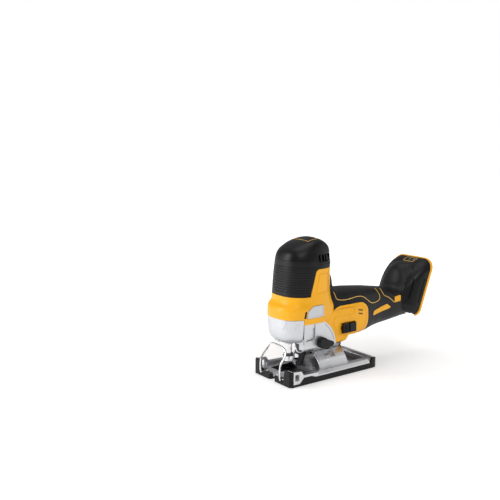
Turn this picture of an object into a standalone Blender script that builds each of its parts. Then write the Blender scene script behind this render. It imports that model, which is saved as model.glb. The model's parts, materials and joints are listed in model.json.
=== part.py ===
"""Cordless barrel-grip jigsaw, bare tool. Units: metres, +Z up, the blade travels along Z.
Working dimensions below are millimetres in a drawing frame whose x = 0 is the front edge of the sole;
W() turns them into metres with the origin at the centre of the sole's underside."""
import math

import bmesh
import bpy
from mathutils import Matrix, Vector

# ---------------------------------------------------------------- driving dimensions (mm)
SOLE_LEN = 158.0
SOLE_R = 11.0                 # rear corners of the sole in plan
SOLE_HALF = 40.0
COVER_T = 2.2
DECK_Z = 9.0
RIM_Z = 12.6
BEVEL_Z = 2.0                 # height of the bevel axis, which runs along X at y = 0
ARCH_R = 34.0                 # outer radius of the quadrant bracket about the bevel axis
ARCH_T = 2.6
SADDLE_R = 34.7
ROD_X = 28.0
ROD_R = 4.5
STROKE = 26.0
MOTOR_X = 58.0
GEAR_Z = 74.0
GEAR_R = 21.0
GEAR_TEETH = 27
PINION_TEETH = 9
ECCENTRIC = STROKE / 2
RIM_O = (256.9, 98.5)         # centre of the battery dock's mouth in the XZ plane
RIM_U = (0.353, 0.9356)       # along the mouth, upwards
RIM_N = (0.9356, -0.353)      # out of the mouth
X_SHIFT = SOLE_LEN / 2
GAP = 0.3


def W(x, y, z):
    return Vector(((x - X_SHIFT) / 1000, y / 1000, z / 1000))


def dock(d, t, y):
    """A point d along the mouth's normal and t along its slope."""
    return (RIM_O[0] + d * RIM_N[0] + t * RIM_U[0], y, RIM_O[1] + d * RIM_N[1] + t * RIM_U[1])


# ---------------------------------------------------------------- scene and materials
for o in list(bpy.data.objects):
    bpy.data.objects.remove(o, do_unlink=True)
scene = bpy.context.scene
parts = bpy.data.collections.new("jigsaw")
tools = bpy.data.collections.new("cutters")
scene.collection.children.link(parts)
scene.collection.children.link(tools)

MATERIALS = {
    "yellow_plastic": ((0.90, 0.42, 0.015), 0.42, 0.0),
    "black_overmould": ((0.018, 0.018, 0.02), 0.62, 0.0),
    "black_plastic": ((0.016, 0.016, 0.017), 0.42, 0.0),
    "cast_alloy": ((0.56, 0.57, 0.58), 0.40, 0.9),
    "sheet_steel": ((0.62, 0.63, 0.64), 0.32, 1.0),
    "bright_steel": ((0.70, 0.70, 0.71), 0.18, 1.0),
    "dark_steel": ((0.10, 0.10, 0.105), 0.42, 0.9),
    "bearing_bronze": ((0.45, 0.28, 0.12), 0.35, 1.0),
    "copper_winding": ((0.55, 0.22, 0.09), 0.35, 1.0),
    "contact_brass": ((0.72, 0.53, 0.22), 0.30, 1.0),
    "badge_grey": ((0.60, 0.61, 0.62), 0.35, 0.2),
    "circuit_green": ((0.02, 0.12, 0.06), 0.5, 0.0),
    "lens_clear": ((0.85, 0.86, 0.84), 0.12, 0.0),
    "mark_grey": ((0.35, 0.35, 0.35), 0.5, 0.0),
}
mats = {}
for key, (rgb, rough, metal) in MATERIALS.items():
    m = bpy.data.materials.new(key)
    m.use_nodes = True
    bsdf = m.node_tree.nodes["Principled BSDF"]
    bsdf.inputs["Base Color"].default_value = (*rgb, 1.0)
    bsdf.inputs["Roughness"].default_value = rough
    bsdf.inputs["Metallic"].default_value = metal
    m.diffuse_color = (*rgb, 1.0)
    mats[key] = m


def finish(bm, name, material, collection, smooth=False):
    bmesh.ops.recalc_face_normals(bm, faces=bm.faces[:])
    mesh = bpy.data.meshes.new(name)
    bm.to_mesh(mesh)
    bm.free()
    if smooth:
        for p in mesh.polygons:
            p.use_smooth = True
    ob = bpy.data.objects.new(name, mesh)
    collection.objects.link(ob)
    if material:
        mesh.materials.append(mats[material])
    if collection is tools:
        ob.hide_render = True
        ob.display_type = "WIRE"
    return ob


def add_rings(bm, rings, cap=True):
    rows = [[bm.verts.new(W(*p)) for p in ring] for ring in rings]
    n = len(rows[0])
    for a, b in zip(rows, rows[1:]):
        for i in range(n):
            j = (i + 1) % n
            bm.faces.new((a[i], a[j], b[j], b[i]))
    if cap:
        bm.faces.new(rows[0][::-1])
        bm.faces.new(rows[-1])
    return rows


def loft(name, rings, material=None, collection=None, smooth=True):
    bm = bmesh.new()
    add_rings(bm, rings)
    return finish(bm, name, material, collection or tools, smooth)


def box(name, x, y, z, material=None, collection=None):
    r = [[(x[0], y[0], zz), (x[1], y[0], zz), (x[1], y[1], zz), (x[0], y[1], zz)] for zz in z]
    return loft(name, r, material, collection, False)


def prism_y(name, poly, y0, y1, material=None, collection=None):
    """A side-view outline of (x, z) points, extruded from y0 to y1."""
    return loft(name, [[(px, y, pz) for px, pz in poly] for y in (y0, y1)], material, collection, False)


def prism_x(name, poly, x0, x1, material=None, collection=None):
    """A cross-section of (y, z) points, extruded from x0 to x1."""
    return loft(name, [[(x, py, pz) for py, pz in poly] for x in (x0, x1)], material, collection, False)


def prism_z(name, poly, z0, z1, material=None, collection=None):
    return loft(name, [[(px, py, z) for px, py in poly] for z in (z0, z1)], material, collection, False)


def turned(name, axis, centre, profile, n=32, material=None, collection=None, phase=0.0):
    """Rings of (position along the axis, radius); a first and last ring close the ends."""
    rings = []
    for s, r in profile:
        ring = []
        for i in range(n):
            a = phase + 2 * math.pi * i / n
            c, q = r * math.cos(a), r * math.sin(a)
            if axis == "z":
                ring.append((centre[0] + c, centre[1] + q, s))
            elif axis == "x":
                ring.append((s, centre[0] + c, centre[1] + q))
            else:
                ring.append((centre[0] + c, s, centre[1] + q))
        rings.append(ring)
    return loft(name, rings, material, collection, True)


def tube_ring(name, axis, centre, s0, s1, r_in, r_out, n=32, material=None, collection=None):
    """A plain ring: one closed surface through the bore."""
    bm = bmesh.new()
    rows = []
    for s, r in ((s0, r_in), (s0, r_out), (s1, r_out), (s1, r_in)):
        ring = []
        for i in range(n):
            a = 2 * math.pi * i / n
            c, q = r * math.cos(a), r * math.sin(a)
            p = {"z": (centre[0] + c, centre[1] + q, s), "x": (s, centre[0] + c, centre[1] + q),
                 "y": (centre[0] + c, s, centre[1] + q)}[axis]
            ring.append(bm.verts.new(W(*p)))
        rows.append(ring)
    for k in range(4):
        a, b = rows[k], rows[(k + 1) % 4]
        for i in range(n):
            j = (i + 1) % n
            bm.faces.new((a[i], a[j], b[j], b[i]))
    return finish(bm, name, material, collection or tools, True)


def sweep(name, path, r, n=10, material=None, collection=None):
    """A round wire along a path, with parallel-transported rings."""
    pts = [Vector(p) for p in path]
    rings = []
    up = None
    for i, p in enumerate(pts):
        t = (pts[min(i + 1, len(pts) - 1)] - pts[max(i - 1, 0)]).normalized()
        if up is None:
            up = t.orthogonal().normalized()
        up = (up - t * up.dot(t)).normalized()
        side = t.cross(up)
        rings.append([tuple(p + r * (math.cos(2 * math.pi * k / n) * up + math.sin(2 * math.pi * k / n) * side))
                      for k in range(n)])
    return loft(name, rings, material, collection, True)


def boolean(ob, other, op="DIFFERENCE"):
    mod = ob.modifiers.new(f"{op.lower()}_{len(ob.modifiers)}", "BOOLEAN")
    mod.operation = op
    mod.solver = "EXACT"
    mod.object = other
    if other.name in parts.objects:
        parts.objects.unlink(other)
        tools.objects.link(other)
    other.hide_render = True
    other.display_type = "WIRE"
    return ob


def cut(ob, *others):
    for o in others:
        boolean(ob, o, "DIFFERENCE")
    return ob


def join(ob, *others):
    for o in others:
        boolean(ob, o, "UNION")
    return ob


def keep(ob, *others):
    for o in others:
        boolean(ob, o, "INTERSECT")
    return ob


def pivot(ob, x, y, z):
    """Moves the origin to a joint axis without moving the shape."""
    at = W(x, y, z)
    ob.data.transform(Matrix.Translation(-at))
    ob.location = at
    return ob


def spow(v, e):
    return math.copysign(abs(v) ** e, v)


def arc_pts(cx, cz, r, a0, a1, n):
    return [(cx + r * math.cos(math.radians(a0 + (a1 - a0) * i / n)),
             cz + r * math.sin(math.radians(a0 + (a1 - a0) * i / n))) for i in range(n + 1)]


# ---------------------------------------------------------------- section functions
def oval(xf, xr, hy, n, z, count):
    """A superellipse in plan from xf to xr, hy each side."""
    cx, a = (xf + xr) / 2, (xr - xf) / 2
    return [(cx + a * spow(math.cos(2 * math.pi * i / count), 2 / n),
             hy * spow(math.sin(2 * math.pi * i / count), 2 / n), z) for i in range(count)]


def egg(x, zb, zt, zc, hw, nb, nt, count):
    """A cross-section at x whose widest point is at zc."""
    out = []
    for i in range(count):
        a = 2 * math.pi * i / count
        c, s = math.cos(a), math.sin(a)
        n = nt if s > 0 else nb
        h = (zt - zc) if s > 0 else (zc - zb)
        out.append((x, hw * spow(c, 2 / n), zc + h * spow(s, 2 / n)))
    return out


def table(rows, v):
    """Straight-line interpolation in rows of (v, a, b, c...)."""
    if v <= rows[0][0]:
        return rows[0][1:]
    for p, q in zip(rows, rows[1:]):
        if v <= q[0]:
            k = (v - p[0]) / (q[0] - p[0])
            return tuple(a + (b - a) * k for a, b in zip(p[1:], q[1:]))
    return rows[-1][1:]


# height: front x, rear x, half width, exponent
TOWER = [(76.0, 5.0, 94.0, 33.5, 2.7), (84.0, 3.2, 94.0, 35.6, 2.6), (92.0, 3.5, 94.0, 36.0, 2.6),
         (97.0, 4.0, 92.4, 36.0, 2.6), (99.5, 5.2, 90.6, 35.9, 2.6), (103.0, 9.2, 88.0, 35.6, 2.6),
         (106.0, 10.6, 86.8, 35.3, 2.58), (113.4, 10.8, 85.4, 34.6, 2.55), (116.0, 10.8, 85.4, 34.2, 2.5),
         (118.5, 10.9, 85.4, 34.0, 2.5), (130.0, 11.7, 85.3, 33.9, 2.5), (147.0, 13.5, 85.2, 33.5, 2.5),
         (154.5, 14.4, 86.0, 33.0, 2.5), (160.0, 14.9, 86.0, 32.4, 2.45), (166.0, 16.3, 85.8, 31.2, 2.45),
         (172.0, 20.2, 85.4, 29.2, 2.4), (177.0, 28.0, 82.4, 26.6, 2.4), (180.6, 35.7, 78.0, 24.0, 2.35),
         (183.2, 43.4, 73.7, 20.4, 2.3), (185.2, 51.0, 68.4, 14.5, 2.3), (186.4, 55.4, 64.6, 8.5, 2.3),
         (186.9, 58.0, 62.0, 4.0, 2.2)]
# x: bottom, top, widest height, half width, bottom exponent, top exponent
REAR = [(60.0, 41.9, 112.0, 70.0, 31.2, 9.0, 3.0), (103.5, 41.9, 112.0, 71.0, 31.6, 8.0, 3.0),
        (110.5, 48.4, 112.0, 72.0, 32.4, 5.0, 2.9), (128.0, 47.8, 111.2, 73.0, 32.4, 4.6, 2.8),
        (142.0, 48.4, 109.8, 75.0, 31.2, 4.2, 2.8), (152.0, 49.6, 108.8, 76.5, 29.6, 3.8, 2.8),
        (164.0, 51.0, 107.6, 78.0, 27.8, 3.4, 2.8), (180.0, 52.6, 105.0, 79.0, 26.8, 3.2, 2.8),
        (196.0, 54.2, 102.6, 79.0, 26.8, 3.2, 2.9), (205.0, 55.2, 101.2, 79.5, 26.6, 3.2, 2.5),
        (211.5, 56.0, 102.8, 79.5, 26.4, 3.3, 2.25), (216.0, 56.6, 105.8, 80.5, 26.2, 3.4, 2.0),
        (219.8, 57.0, 112.2, 81.0, 26.0, 3.4, 1.95), (223.4, 57.4, 119.6, 83.0, 26.4, 3.5, 1.95),
        (227.0, 57.8, 126.8, 86.0, 27.0, 3.6, 1.95), (231.6, 58.4, 131.2, 88.0, 27.8, 3.8, 2.0),
        (238.0, 59.4, 133.8, 92.0, 28.8, 4.0, 2.3), (243.0, 60.4, 134.6, 96.0, 29.6, 4.0, 2.8),
        (262.0, 62.0, 134.6, 98.0, 30.0, 4.0, 4.0)]
# depth behind the mouth: lowest t, highest t, half width, corner radius
DOCK = [(-33.5, -37.0, 0.0, 22.0, 15.0), (-31.5, -40.0, 6.0, 25.5, 17.0), (-27.0, -41.6, 16.5, 29.6, 18.0),
        (-20.0, -42.4, 27.5, 33.6, 18.0), (-12.0, -43.0, 37.2, 36.0, 17.5), (-4.4, -43.4, 42.6, 37.0, 17.0)]
# height: front x, half width, exponent for the nose
NOSE = [(50.6, 17.0, 21.0, 2.4), (51.6, 12.6, 25.5, 2.5), (54.0, 8.8, 29.0, 2.6), (58.0, 6.2, 31.6, 2.7),
        (64.0, 4.8, 33.0, 2.7), (75.0, 4.3, 33.8, 2.7), (83.7, 4.2, 34.4, 2.7)]


def tower_ring(z, inset=0.0, count=40):
    xf, xr, hy, n = table(TOWER, z)
    return oval(xf + inset, xr - inset, hy - inset, n, z, count)


def rear_ring(x, inset=0.0, count=40):
    zb, zt, zc, hw, nb, nt = table(REAR, x)
    return egg(x, zb + inset, zt - inset, zc, hw - inset, nb, nt, count)


def nose_ring(z, inset=0.0, count=48):
    xf, hy, n = table(NOSE, z)
    return oval(xf + inset, 60 + (60 - xf) * 0.55 - inset, hy - inset, n, z, count)


def rrect(hx0, hx1, hy, r, k=4):
    """Rounded rectangle from hx0 to hx1 and -hy to hy, as (t, y) pairs."""
    out = []
    for cx, cy, a0 in ((hx1 - r, hy - r, 0), (hx0 + r, hy - r, 90), (hx0 + r, -hy + r, 180), (hx1 - r, -hy + r, 270)):
        for i in range(k + 1):
            a = math.radians(a0 + 90 * i / k)
            out.append((cx + r * math.cos(a), cy + r * math.sin(a)))
    return out


def rrect_tb(hx0, hx1, hy, rb, rt, k=4):
    """As rrect, with its own corner radius at the low end and at the high end."""
    out = []
    for cx, cy, a0, r in ((hx1 - rt, hy - rt, 0, rt), (hx0 + rb, hy - rb, 90, rb), (hx0 + rb, -hy + rb, 180, rb),
                          (hx1 - rt, -hy + rt, 270, rt)):
        for i in range(k + 1):
            a = math.radians(a0 + 90 * i / k)
            out.append((cx + r * math.cos(a), cy + r * math.sin(a)))
    return out


def dock_ring(d, inset=0.0):
    t0, t1, hw, r = table(DOCK, d)
    rb = 10.0 + min(2.0, (d + 33.5) / 3)
    return [dock(d, t, y) for t, y in rrect_tb(t0 + inset, t1 - inset, hw - inset, max(2.0, rb - inset), max(2.0, r - inset))]


# side-view outlines (x, z)
SEAM = [(64.6, 77.0), (72.0, 82.9), (79.5, 88.3), (86.0, 91.6), (93.0, 93.4)]
ARC = [(64.6, 77.0), (71.0, 71.4), (75.6, 66.6), (78.9, 61.8), (81.6, 56.0), (83.4, 50.0), (84.7, 41.8)]
BELLY_TOP = [(93.0, 93.4), (115.0, 93.6), (131.0, 93.5), (137.4, 91.2), (141.6, 87.0), (143.8, 81.5)]
BELLY_LOW = [(144.4, 72.0), (143.4, 62.5), (140.0, 54.5), (134.8, 48.5), (130.5, 44.0)]
BELLY = ARC[::-1] + SEAM[1:] + BELLY_TOP[1:] + BELLY_LOW + [(109.5, 44.0), (103.4, 41.9)]


def grow(poly, d):
    """Offsets a polygon outwards by d (inwards when negative) along its vertex normals."""
    area = sum(p[0] * q[1] - q[0] * p[1] for p, q in zip(poly, poly[1:] + poly[:1]))
    s = 1 if area > 0 else -1
    out = []
    for i, p in enumerate(poly):
        a, b = poly[i - 1], poly[(i + 1) % len(poly)]
        u = Vector((p[0] - a[0], p[1] - a[1])).normalized()
        v = Vector((b[0] - p[0], b[1] - p[1])).normalized()
        n = Vector((u.y + v.y, -u.x - v.x)) * s
        n.normalize()
        k = d / max(0.4, n.dot(Vector((u.y, -u.x)) * s))
        out.append((p[0] + n.x * k, p[1] + n.y * k))
    return out


# ================================================================ TOWER
COLUMN = [(36.6, 112.0), (47.0, 148.4), (110.0, 148.4), (110.0, 112.0)]
tower = loft("tower_housing", [tower_ring(z) for z in (76.0, 84.0, 92.0, 97.0, 99.5, 103.0, 106.0)] +
             [tower_ring(113.1), tower_ring(113.1, 3.2)] + [tower_ring(z, 3.2) for z in (116.0, 118.5, 147.0, 153.9)],
             "yellow_plastic", parts)
column = loft("column_body", [tower_ring(z, 0.06) for z in (108.0, 113.4, 118.5, 130.0, 147.0, 152.0)])
keep(column, prism_y("column_outline", grow(COLUMN, -0.2), -60, 60))
join(tower, column)
cut(tower, loft("tower_bore", [tower_ring(z, 6.2) for z in (70.0, 84.0, 92.0, 97.0, 99.5, 103.0, 106.0)] +
                [tower_ring(116.0, 6.4), tower_ring(160.0, 6.0)]),
    prism_y("nose_seat", [(-20, 60), (-20, 84.0), (27.6, 84.0), (27.6, 77.0), (64.3, 77.0), *SEAM[1:], (96.0, 93.9),
                          (120, 93.9), (120, 60)], -60, 60))
def band(name, z0, z1, inset_in, inset_out=0.0, count=40, material=None, collection=None):
    """A closed ring that follows the tower's outline, from inset_in to inset_out, between two heights."""
    bm = bmesh.new()
    rows = []
    for z, inset in ((z0, inset_in), (z0, inset_out), (z1, inset_out), (z1, inset_in)):
        rows.append([bm.verts.new(W(*p)) for p in tower_ring(z, inset, count)])
    for k in range(4):
        a, b = rows[k], rows[(k + 1) % 4]
        for i in range(count):
            j = (i + 1) % count
            bm.faces.new((a[i], a[j], b[j], b[i]))
    return finish(bm, name, material, collection or tools, True)


# the ribbed sleeve: a lathe-like loft whose skin steps in at each groove
steps = [(113.4, 0.0), (118.0, 0.0)]
for i in range(11):
    z = 119.0 + 3.2 * i
    steps += [(z, 0.0), (z + 0.5, 0.7), (z + 1.1, 0.7), (z + 1.6, 0.0)]
steps += [(154.5, 0.0), (159.7, 0.0)]
grip = loft("tower_grip", [tower_ring(z, i) for z, i in steps], "black_overmould", parts)
cut(grip, loft("grip_bore", [tower_ring(z, 2.8) for z in (105.0, 113.4, 116.0, 118.5, 130.0, 147.0, 154.5, 160.0, 162.0)]),
    prism_y("grip_window", COLUMN[:3] + [(110.0, 100.0), (30.9, 100.0)], -60, 60),
    box("cap_step_seat", (45.7, 120), (-60, 60), (154.2, 170)))

CAP_Z = [154.5, 160.0, 166.0, 172.0, 177.0, 180.6, 183.2, 185.2, 186.4, 186.9]
cap = loft("tower_cap", [tower_ring(z, 0, 40) for z in CAP_Z], "black_plastic", parts)
cut(cap, loft("cap_bore", [tower_ring(z, 2.6, 40) for z in (150.0, 154.5, 160.0, 166.0, 172.0, 177.0)] +
              [tower_ring(180.6, 4.0, 40)]),
    box("cap_front_seat", (-20, 46), (-60, 60), (140, 160)))
for s, tag in ((-1, "left"), (1, "right")):
    cut(cap, box(f"vent_window_{tag}", (52, 80), (s * 14, s * 50) if s > 0 else (-50, -14), (156.5, 166.5)))
    g = box(f"vent_grille_{tag}", (50, 82), (-60, 0) if s < 0 else (0, 60), (155.0, 168.5), "black_plastic", parts)
    keep(g, band(f"grille_band_{tag}", 155.0, 168.5, 5.0, 2.9))
    for k in range(4):
        cut(g, box(f"louvre_{tag}_{k}", (52.8 + 6.8 * k, 57.4 + 6.8 * k), (-60, 60), (157.0, 166.0)))

# motor end shield closes the motor bay under the cap and carries the upper bearing
shield = loft("motor_end_shield", [tower_ring(z, 9.0, 32) for z in (156.6, 159.2)], "black_plastic", parts)
join(shield, turned("shield_boss", "z", (MOTOR_X, 0), [(157.0, 11.0), (166.0, 11.0)], 28))
cut(shield, turned("shield_seat", "z", (MOTOR_X, 0), [(158.4, 8.3), (170.0, 8.3)], 28),
    turned("shield_hole", "z", (MOTOR_X, 0), [(150.0, 5.0), (160.0, 5.0)], 28))
for k in range(6):
    a = math.radians(30 + 60 * k)
    cut(shield, turned(f"shield_vent_{k}", "z", (MOTOR_X + 14.6 * math.cos(a), 14.6 * math.sin(a)),
                       [(150.0, 2.8), (164.0, 2.8)], 16))
tube_ring("upper_bearing", "z", (MOTOR_X, 0), 158.7, 164.7, 3.3, 8.0, 28, "bright_steel", parts)

# bearing plate between motor and gears
plate = loft("bearing_plate", [tower_ring(z, 6.7, 40) for z in (100.0, 103.0, 105.6)], "cast_alloy", parts)
cut(plate, turned("plate_bearing_seat", "z", (MOTOR_X, 0), [(90.0, 8.3), (120.0, 8.3)], 28),
    turned("plate_bushing_seat", "z", (ROD_X, 0), [(90.0, 6.8), (120.0, 6.8)], 24))
tube_ring("lower_bearing", "z", (MOTOR_X, 0), 100.2, 105.4, 3.3, 8.0, 28, "bright_steel", parts)
tube_ring("rod_bushing_upper", "z", (ROD_X, 0), 98.4, 107.4, ROD_R + 0.12, 6.5, 24, "bearing_bronze", parts)

# motor
stator = tube_ring("stator", "z", (MOTOR_X, 0), 112.0, 148.0, 11.8, 20.2, 30, "dark_steel", parts)
for k in range(6):
    a = math.radians(60 * k)
    c = turned(f"coil_{k}", "z", (MOTOR_X + 15.6 * math.cos(a), 15.6 * math.sin(a)), [(109.6, 2.6), (110.6, 3.4),
               (149.4, 3.4), (150.2, 2.6)], 8)
    join(stator, c)
rotor = turned("rotor", "z", (MOTOR_X, 0), [(99.0, 3.0), (113.0, 3.0), (113.0, 11.3), (147.4, 11.3), (147.4, 3.0),
               (165.0, 3.0)], 32, "sheet_steel", parts)
fan = turned("fan", "z", (MOTOR_X, 0), [(150.9, 19.6), (152.0, 19.6), (152.0, 6.0), (155.6, 6.0)], 32,
             "black_plastic", parts)
for k in range(9):
    a = 2 * math.pi * k / 9
    blade = []
    for zz in (151.5, 155.4):
        q = []
        for rr, da, off in ((5.0, 0.0, -0.7), (18.8, 0.35, -0.7), (18.8, 0.35, 0.7), (5.0, 0.0, 0.7)):
            q.append((MOTOR_X + rr * math.cos(a + da) - off * math.sin(a + da),
                      rr * math.sin(a + da) + off * math.cos(a + da), zz))
        blade.append(q)
    join(fan, loft(f"fan_blade_{k}", blade, None, None, False))
cut(fan, turned("fan_bore", "z", (MOTOR_X, 0), [(140.0, 3.3), (170.0, 3.3)], 24))


def bevel_gear(name, teeth, axis, phase, far, near, pitch_tan, addendum, back, fill, material):
    """A straight bevel gear about an axis through apex. far and near are distances from the apex along the gear's
    own axis-normal radius: pitch radius at the large and the small end; pitch_tan is axial distance over radius."""
    bm = bmesh.new()
    n = teeth * 4
    frac = (-fill / 2 - 0.11, -fill / 2 + 0.03, fill / 2 - 0.03, fill / 2 + 0.11)
    high = (0, 1, 1, 0)
    rings = []
    for radius in (far, near):
        ring = []
        for t in range(teeth):
            for f, h in zip(frac, high):
                a = 2 * math.pi * (t + f + phase) / teeth
                k = radius / far
                off = (addendum if h else -addendum * 1.25) * k
                # offset along the outward normal of the pitch cone
                norm = math.hypot(1, pitch_tan)
                r = radius + off * pitch_tan / norm
                ax = radius * pitch_tan - off / norm
                ring.append((a, r, ax))
        rings.append(ring)
    inner = [(a, back[1], near * pitch_tan + 0.4) for a, r, ax in rings[1]]
    low = [(a, back[1], back[0]) for a, r, ax in rings[1]]
    outer = [(a, far - 0.6, back[0]) for a, r, ax in rings[0]]
    order = [low, outer, rings[0], rings[1], inner]
    rows = []
    for ring in order:
        row = []
        for a, r, ax in ring:
            c, s = r * math.cos(a), r * math.sin(a)
            p = axis(c, s, ax)
            row.append(bm.verts.new(W(*p)))
        rows.append(row)
    for k in range(len(rows)):
        a, b = rows[k], rows[(k + 1) % len(rows)]
        for i in range(n):
            j = (i + 1) % n
            bm.faces.new((a[i], a[j], b[j], b[i]))
    return finish(bm, name, material, parts)


# large gear: axis along -X from the apex at (MOTOR_X, 0, GEAR_Z); its pitch cone opens towards the rod
gear = bevel_gear("bevel_gear", GEAR_TEETH, lambda c, s, ax: (MOTOR_X - ax, c, GEAR_Z + s), 0.75, GEAR_R, 16.4,
                  1 / 3, 0.85, (14.0, 4.6), 0.30, "dark_steel")
shaft = turned("gear_shaft", "x", (0, GEAR_Z), [(46.0, 4.3), (65.6, 4.3)], 24, "bright_steel", parts)
pin = turned("eccentric_pin", "x", (ECCENTRIC, GEAR_Z), [(38.0, 3.0), (43.4, 3.0)], 20, "bright_steel", parts)
pinion = bevel_gear("bevel_pinion", PINION_TEETH, lambda c, s, ax: (MOTOR_X + c, s, GEAR_Z + ax), 0.0, 7.0, 5.5,
                    3.0, 0.85, (22.6, 3.3), 0.30, "dark_steel")

# ================================================================ REAR BODY: belly, handle and foot
XS = [60.0, 82.0, 103.5, 107.0, 110.5, 119.0, 128.0, 135.0, 142.0, 147.0, 152.0, 158.0, 164.0, 172.0, 180.0, 188.0,
      196.0, 205.0, 211.5, 216.0, 219.8, 223.4, 227.0, 231.6, 238.0, 243.0, 262.0]


def rear_shell(name, inset, xs, count=36):
    return loft(name, [rear_ring(x, inset, count) for x in xs])


def half_space(name, side, gap=0.12):
    return box(name, (40, 290), (gap, 60) if side > 0 else (-60, -gap), (0, 190))


for side, tag in ((-1, "left"), (1, "right")):
    belly = rear_shell(f"belly_{tag}", 0.0, [x for x in XS if x <= 164])
    belly.name = f"belly_housing_{tag}"
    belly.data.materials.append(mats["yellow_plastic"])
    tools.objects.unlink(belly)
    parts.objects.link(belly)
    belly.hide_render = False
    belly.display_type = "TEXTURED"
    keep(belly, prism_y(f"belly_outline_{tag}", BELLY, -60, 60), half_space(f"belly_half_{tag}", side))
    cut(belly, rear_shell(f"belly_bore_{tag}", 2.8, [60.0, 103.5, 112.0, 128.0, 142.0, 164.0], 28),
        box(f"belly_clear_{tag}", (40, 93.2), (-29.0, 29.0), (30, 100)),
        box(f"belly_core_{tag}", (60, 165), (-14, 14), (52, 93.0)))
    if side < 0:
        join(belly, box("switch_backing", (85.0, 122.0), (-31.0, -27.4), (51.6, 73.4)))
        cut(belly, box("switch_recess", (88.4, 118.6), (-60, -30.0), (54.6, 70.4)),
            box("switch_slot", (94.0, 105.6), (-40, -20), (59.5, 65.5)))

grip_xs = [80.0, 92.0] + [x for x in XS if x > 92]
handle = rear_shell("handle_body", 0.0, grip_xs)
handle.name = "handle_grip"
handle.data.materials.append(mats["black_overmould"])
tools.objects.unlink(handle)
parts.objects.link(handle)
handle.hide_render = False
handle.display_type = "TEXTURED"


def web_ring(z, xr, hy):
    """The overmould runs up the back of the tower as a web that thins out towards the top."""
    return [(x, y, z) for x, y in rrect(76.0, xr, hy, 6.0)]


join(handle, loft("tower_web", [web_ring(*row) for row in (
    (98.0, 104.0, 16.0), (109.6, 104.0, 16.0), (113.0, 98.4, 16.0), (116.6, 94.4, 16.0), (120.5, 92.8, 16.0),
    (127.0, 91.8, 16.0), (133.0, 90.2, 15.6), (138.6, 87.6, 14.6), (141.6, 85.9, 13.6))]))
cut(handle, box("front_trim", (70.0, 88.0), (-60.0, 60.0), (30.0, 76.0)),
    prism_y("belly_room", grow(BELLY, 0.3)[:-3] + [(109.5, 30.0), (60.0, 30.0), (60.0, 80.0)], -60, 60),
    loft("tower_room", [tower_ring(z, -0.45, 40) for z in (60.0, 84.0, 92.0, 97.0, 99.5, 103.0, 106.0, 113.4, 118.5, 130.0,
                                                    147.0)]),
    rear_shell("handle_bore", 3.2, [150.5, 164.0, 180.0, 196.0, 205.0, 211.5, 216.0, 219.8, 223.4, 227.0, 231.6, 240.0], 28),
    rear_shell("handle_nose_bore", 3.4, [99.5, 110.5, 128.0, 142.0, 151.0], 24))
room = loft("dock_room", [dock_ring(d, -0.3) for d in (-33.8, -31.5, -27.0, -20.0, -12.0, 30.0)])
INLAY = [(155.8, 70.8), (157.2, 77.0), (185.2, 83.4), (192.8, 78.0), (190.6, 76.4)]
TAG = [(200.6, 83.2), (202.4, 90.8), (216.2, 91.8), (213.4, 83.9)]
inlays = []
for side, tag in ((-1, "left"), (1, "right")):
    pad = prism_y(f"handle_inlay_{tag}", INLAY, -45 if side < 0 else 2, -2 if side < 0 else 45, "yellow_plastic", parts)
    keep(pad, rear_shell(f"inlay_skin_{tag}", -0.15, [140.0, 152.0, 164.0, 180.0, 196.0, 205.0]))
    cut(pad, rear_shell(f"inlay_under_{tag}", 1.6, [140.0, 152.0, 164.0, 180.0, 196.0, 205.0]))
    tagp = prism_y(f"foot_tag_{tag}", TAG,
                   -45 if side < 0 else 2, -2 if side < 0 else 45, "yellow_plastic", parts)
    keep(tagp, rear_shell(f"tag_skin_{tag}", -0.15, [190.0, 205.0, 211.5, 216.0, 219.8, 223.4]))
    cut(tagp, rear_shell(f"tag_under_{tag}", 1.6, [190.0, 205.0, 211.5, 216.0, 219.8, 223.4]))
    cut(handle, prism_y(f"inlay_room_{tag}", grow(INLAY, 0.3), -45 if side < 0 else 2, -2 if side < 0 else 45),
        prism_y(f"tag_room_{tag}", grow(TAG, 0.3),
                -45 if side < 0 else 2, -2 if side < 0 else 45))
# the two windows are only as deep as the inlays: the sleeve stays closed behind them
backing = rear_shell("handle_backing", 1.9, [150.5, 164.0, 180.0, 196.0, 205.0, 211.5, 216.0, 219.8, 223.4])
cut(backing, rear_shell("backing_bore", 3.4, [140.0, 164.0, 180.0, 196.0, 205.0, 211.5, 216.0, 219.8, 223.4, 227.0], 28))
join(handle, backing)
cut(handle, room)
cut(handle, box("wiring_way", (90, 112), (-9, 9), (97.5, 106)))

foot = loft("dock_housing", [dock_ring(d) for d in (-33.5, -31.5, -27.0, -20.0, -12.0, -4.4)], "black_plastic", parts)


def dock_box(name, d, t, y, material=None, collection=None):
    return loft(name, [[dock(dd, t[0], y[0]), dock(dd, t[1], y[0]), dock(dd, t[1], y[1]), dock(dd, t[0], y[1])]
                       for dd in d], material, collection, False)


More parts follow.
